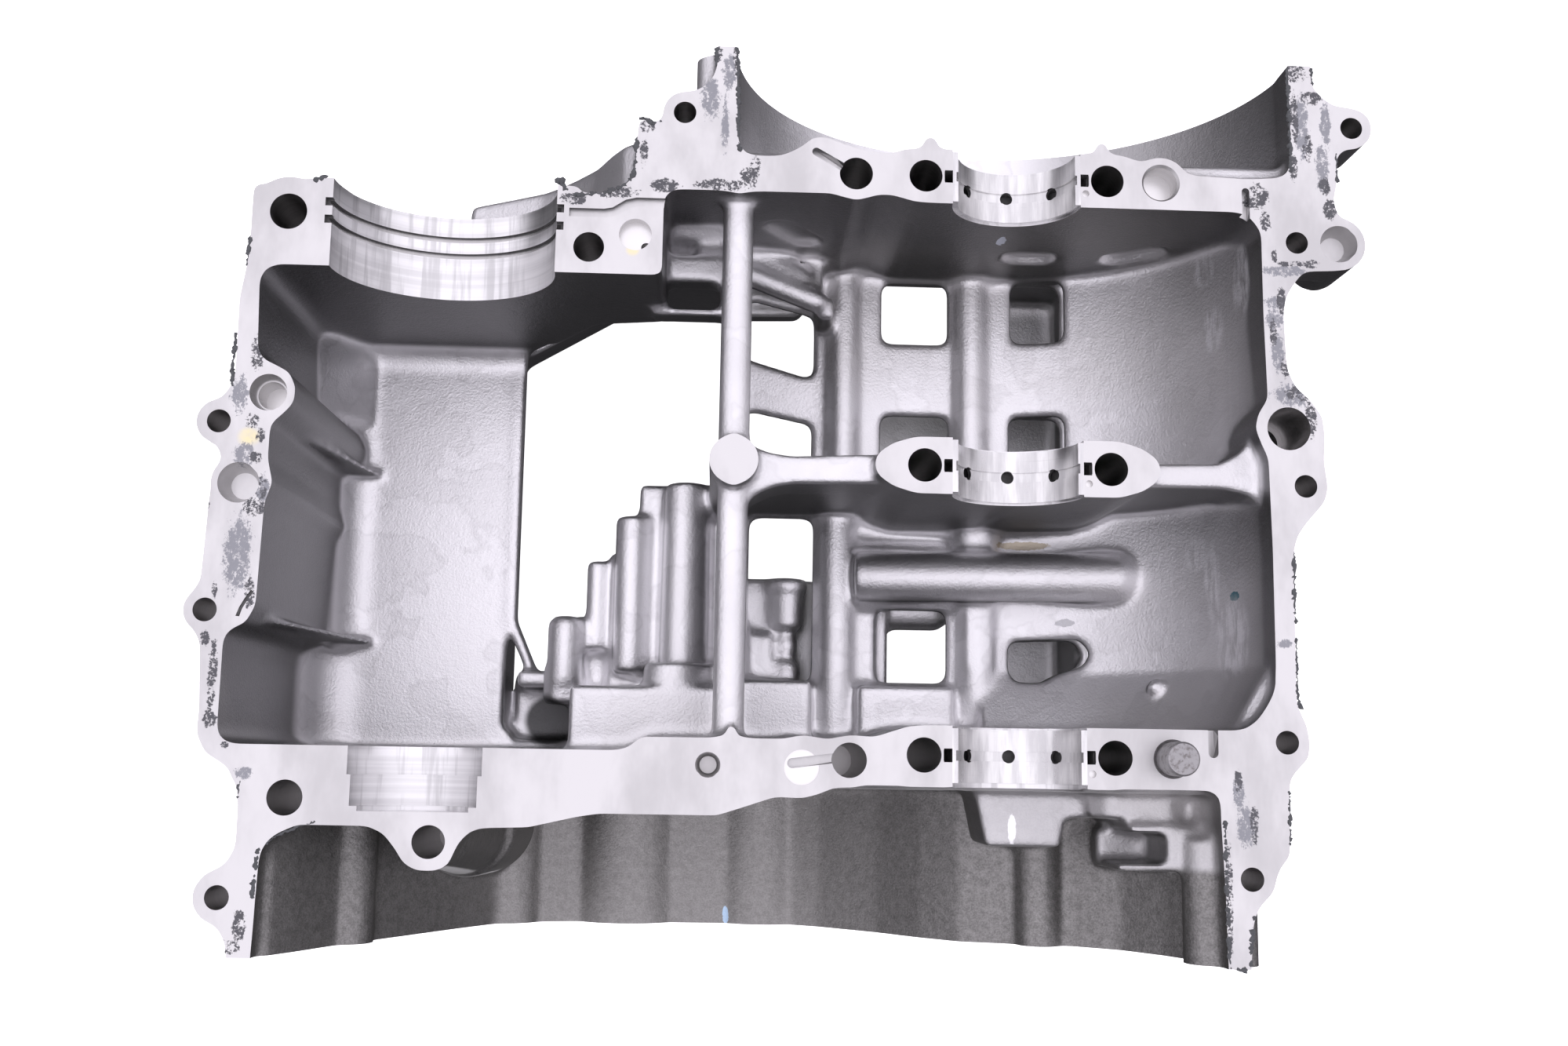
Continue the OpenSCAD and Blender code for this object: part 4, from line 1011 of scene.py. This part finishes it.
skin = Shader("bearing_layer")
score = skin.noise(0.35, 4.0, 0.7, (70, 1.0, 70), seed=6.0)
worn = skin.noise(3.6, 4.0, 0.6, (1.0, 8.0, 1.0), seed=12.0)
tone = skin.colours(worn.ramp(0.34, 0.66), (0.60, 0.595, 0.60), (0.84, 0.835, 0.83))
tone = skin.colours(score.ramp(0.60, 0.78) * 0.5, tone, (0.22, 0.215, 0.21))
dress(SHELLS, skin.done(Base_Color=tone, Metallic=1.0, Roughness=0.22 + 0.16 * worn,
                        Normal=skin.bump(score, 0.03, 0.5)))

# %% [markdown]
# The locating pin is bare steel with light rust. Rust is rougher and less like metal than the
# steel, so one noise drives the colour, the roughness and the metallic share together.

# %% Locating pin
skin = Shader("pin_surface")
rust = skin.noise(1.6, 5.0, 0.65, seed=13.0)
tone = skin.colours(rust.ramp(0.45, 0.72), (0.36, 0.352, 0.36), (0.17, 0.155, 0.15))
dress(["locating_pin"], skin.done(Base_Color=tone, Metallic=1.0 - 0.3 * rust,
                                  Roughness=0.34 + 0.25 * rust, Normal=skin.bump(rust, 0.1, 0.5)))

# %% [markdown]
# The sealant is old silicone rubber: almost black, matt and lumpy.

# %% Sealant
skin = Shader("sealant_rubber")
lump = skin.noise(1.0, 4.0, 0.6, seed=17.0)
sealant.data.materials.append(skin.done(
    Base_Color=skin.colours(lump, (0.035, 0.038, 0.042), (0.12, 0.125, 0.13)), Metallic=0.0,
    Roughness=0.55 + 0.2 * lump, Normal=skin.bump(lump, 0.25, 0.8)))

# %% [markdown]
# The part lies on a plain pale sheet. The sheet is partly lit from itself, so that it stays white
# up to its edges, and the metal doesn't mirror it, which keeps the walls from washing out.

# %% Floor
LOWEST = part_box("crankcase")[0][2]
SHEET_SIZE, GAP = 6.0, 0.0005  # metres
bpy.ops.mesh.primitive_plane_add(size=SHEET_SIZE, location=(0, 0, LOWEST - GAP))
floor = bpy.context.object
floor.name = "floor"
skin = Shader("floor_sheet")
paper = skin.noise(180, 3.0, 0.5, seed=31.0)
floor.data.materials.append(skin.done(
    Base_Color=skin.colours(paper, (0.86, 0.86, 0.86), (0.90, 0.90, 0.90)), Roughness=0.8,
    Emission_Color=(1.0, 1.0, 1.0), Emission_Strength=1.0, Specular_IOR_Level=0.1))
floor.visible_glossy = False
print("floor at z =", round(LOWEST - GAP, 4), "m")

# %% [markdown]
# Metal shows what it reflects, so the light is a wide bright tent overhead with dimmer sides, and
# dark below the horizon. Lamps alone would leave small hard highlights on it. The tent is
# the world itself: three bands from the horizon up, the lower two with four lobes round the
# compass, each with a brightness of its own. One large soft lamp adds the faint shadows.

# %% Light
TENT = (1.0, 0.965, 1.05)  # its tint
BELOW, OVERHEAD = 0.10, 1.24
LOW_BAND, HIGH_BAND = (1.1, 0.25, 0.6, 0.04), (1.25, 0.8, 1.6, 0.3)  # east, north, west, south
LAMP_SIZE, LAMP_POWER, LAMP_AT, LAMP_AIM = 2.2, 1.2, (-0.1, 0.25, 1.5), (-0.07, 0, 0)
world = bpy.context.scene.world or bpy.data.worlds.new("studio")
bpy.context.scene.world = world
world.use_nodes = True
sky = Nodes(world.node_tree)
place = sky.node("ShaderNodeTexCoord", out="Generated")
up = sky.parts(place)[2]
level = sky.node("ShaderNodeVectorMath", {"operation": "MULTIPLY"}, {0: place, 1: (1, 1, 0)})
level = sky.node("ShaderNodeVectorMath", {"operation": "NORMALIZE"}, {0: level})
level_x, level_y, _ = sky.parts(level)


def towards(east, north, west, south):
    """Brightness round the horizon: four lobes, the one to the east along +X."""
    lobes = ((level_x, east), (level_y, north), (-level_x, west), (-level_y, south))
    bright = [(side.max(0.0) ** 2.0) * strength for side, strength in lobes]
    return bright[0] + bright[1] + bright[2] + bright[3]


above, middle, horizon = up.ramp(0.34, 0.64), up.ramp(0.12, 0.34), up.ramp(0.0, 0.05)
strength = (BELOW * (1.0 - horizon) + (horizon - middle) * towards(*LOW_BAND)
            + (middle - above) * towards(*HIGH_BAND) + above * OVERHEAD)
glow = sky.node("ShaderNodeBackground", {}, {"Color": (*TENT, 1.0), "Strength": strength})
sky.node("ShaderNodeOutputWorld", {}, {"Surface": glow}, out=None)
lamp_data = bpy.data.lights.new("soft_box", "AREA")
lamp_data.shape, lamp_data.size = "DISK", LAMP_SIZE
lamp_data.energy, lamp_data.color = LAMP_POWER, TENT
lamp = link(bpy.data.objects.new("soft_box", lamp_data))
lamp.location = LAMP_AT
lamp.rotation_euler = (Vector(LAMP_AIM) - lamp.location).to_track_quat("-Z", "Y").to_euler()
print("sky:", len(sky.tree.nodes), "nodes")

# %% [markdown]
# The camera stands where the photo was taken from: almost straight above, half a metre away. Its
# place was worked out from the straight edges and round holes of the part, as a turn and a shift
# of the part in front of the lens. The camera's own matrix is the inverse of that.

# %% Camera
FOCAL, WIDTH = 2040.0, 1999.0  # pixels of the photo
TURN = [math.radians(a) for a in (-8.48, 2.45, -0.94)]
SHIFT = Vector((71.0, 16.9, -484.6))
turn = Matrix.Identity(3)
for angle, axis in zip(TURN, "XYZ"):
    turn = turn @ Matrix.Rotation(angle, 3, axis)
back = turn.transposed()
lens = bpy.data.cameras.new("camera")
lens.sensor_fit, lens.sensor_width, lens.clip_start = "HORIZONTAL", 36.0, 0.01
lens.lens = lens.sensor_width * FOCAL / WIDTH
camera = link(bpy.data.objects.new("camera", lens))
camera.matrix_world = Matrix.Translation(-(back @ SHIFT) / 1000.0) @ back.to_4x4()
bpy.context.scene.camera = camera
bpy.context.scene.view_settings.view_transform = "Standard"
print("camera at", [round(v, 3) for v in camera.location])

# %% [markdown]
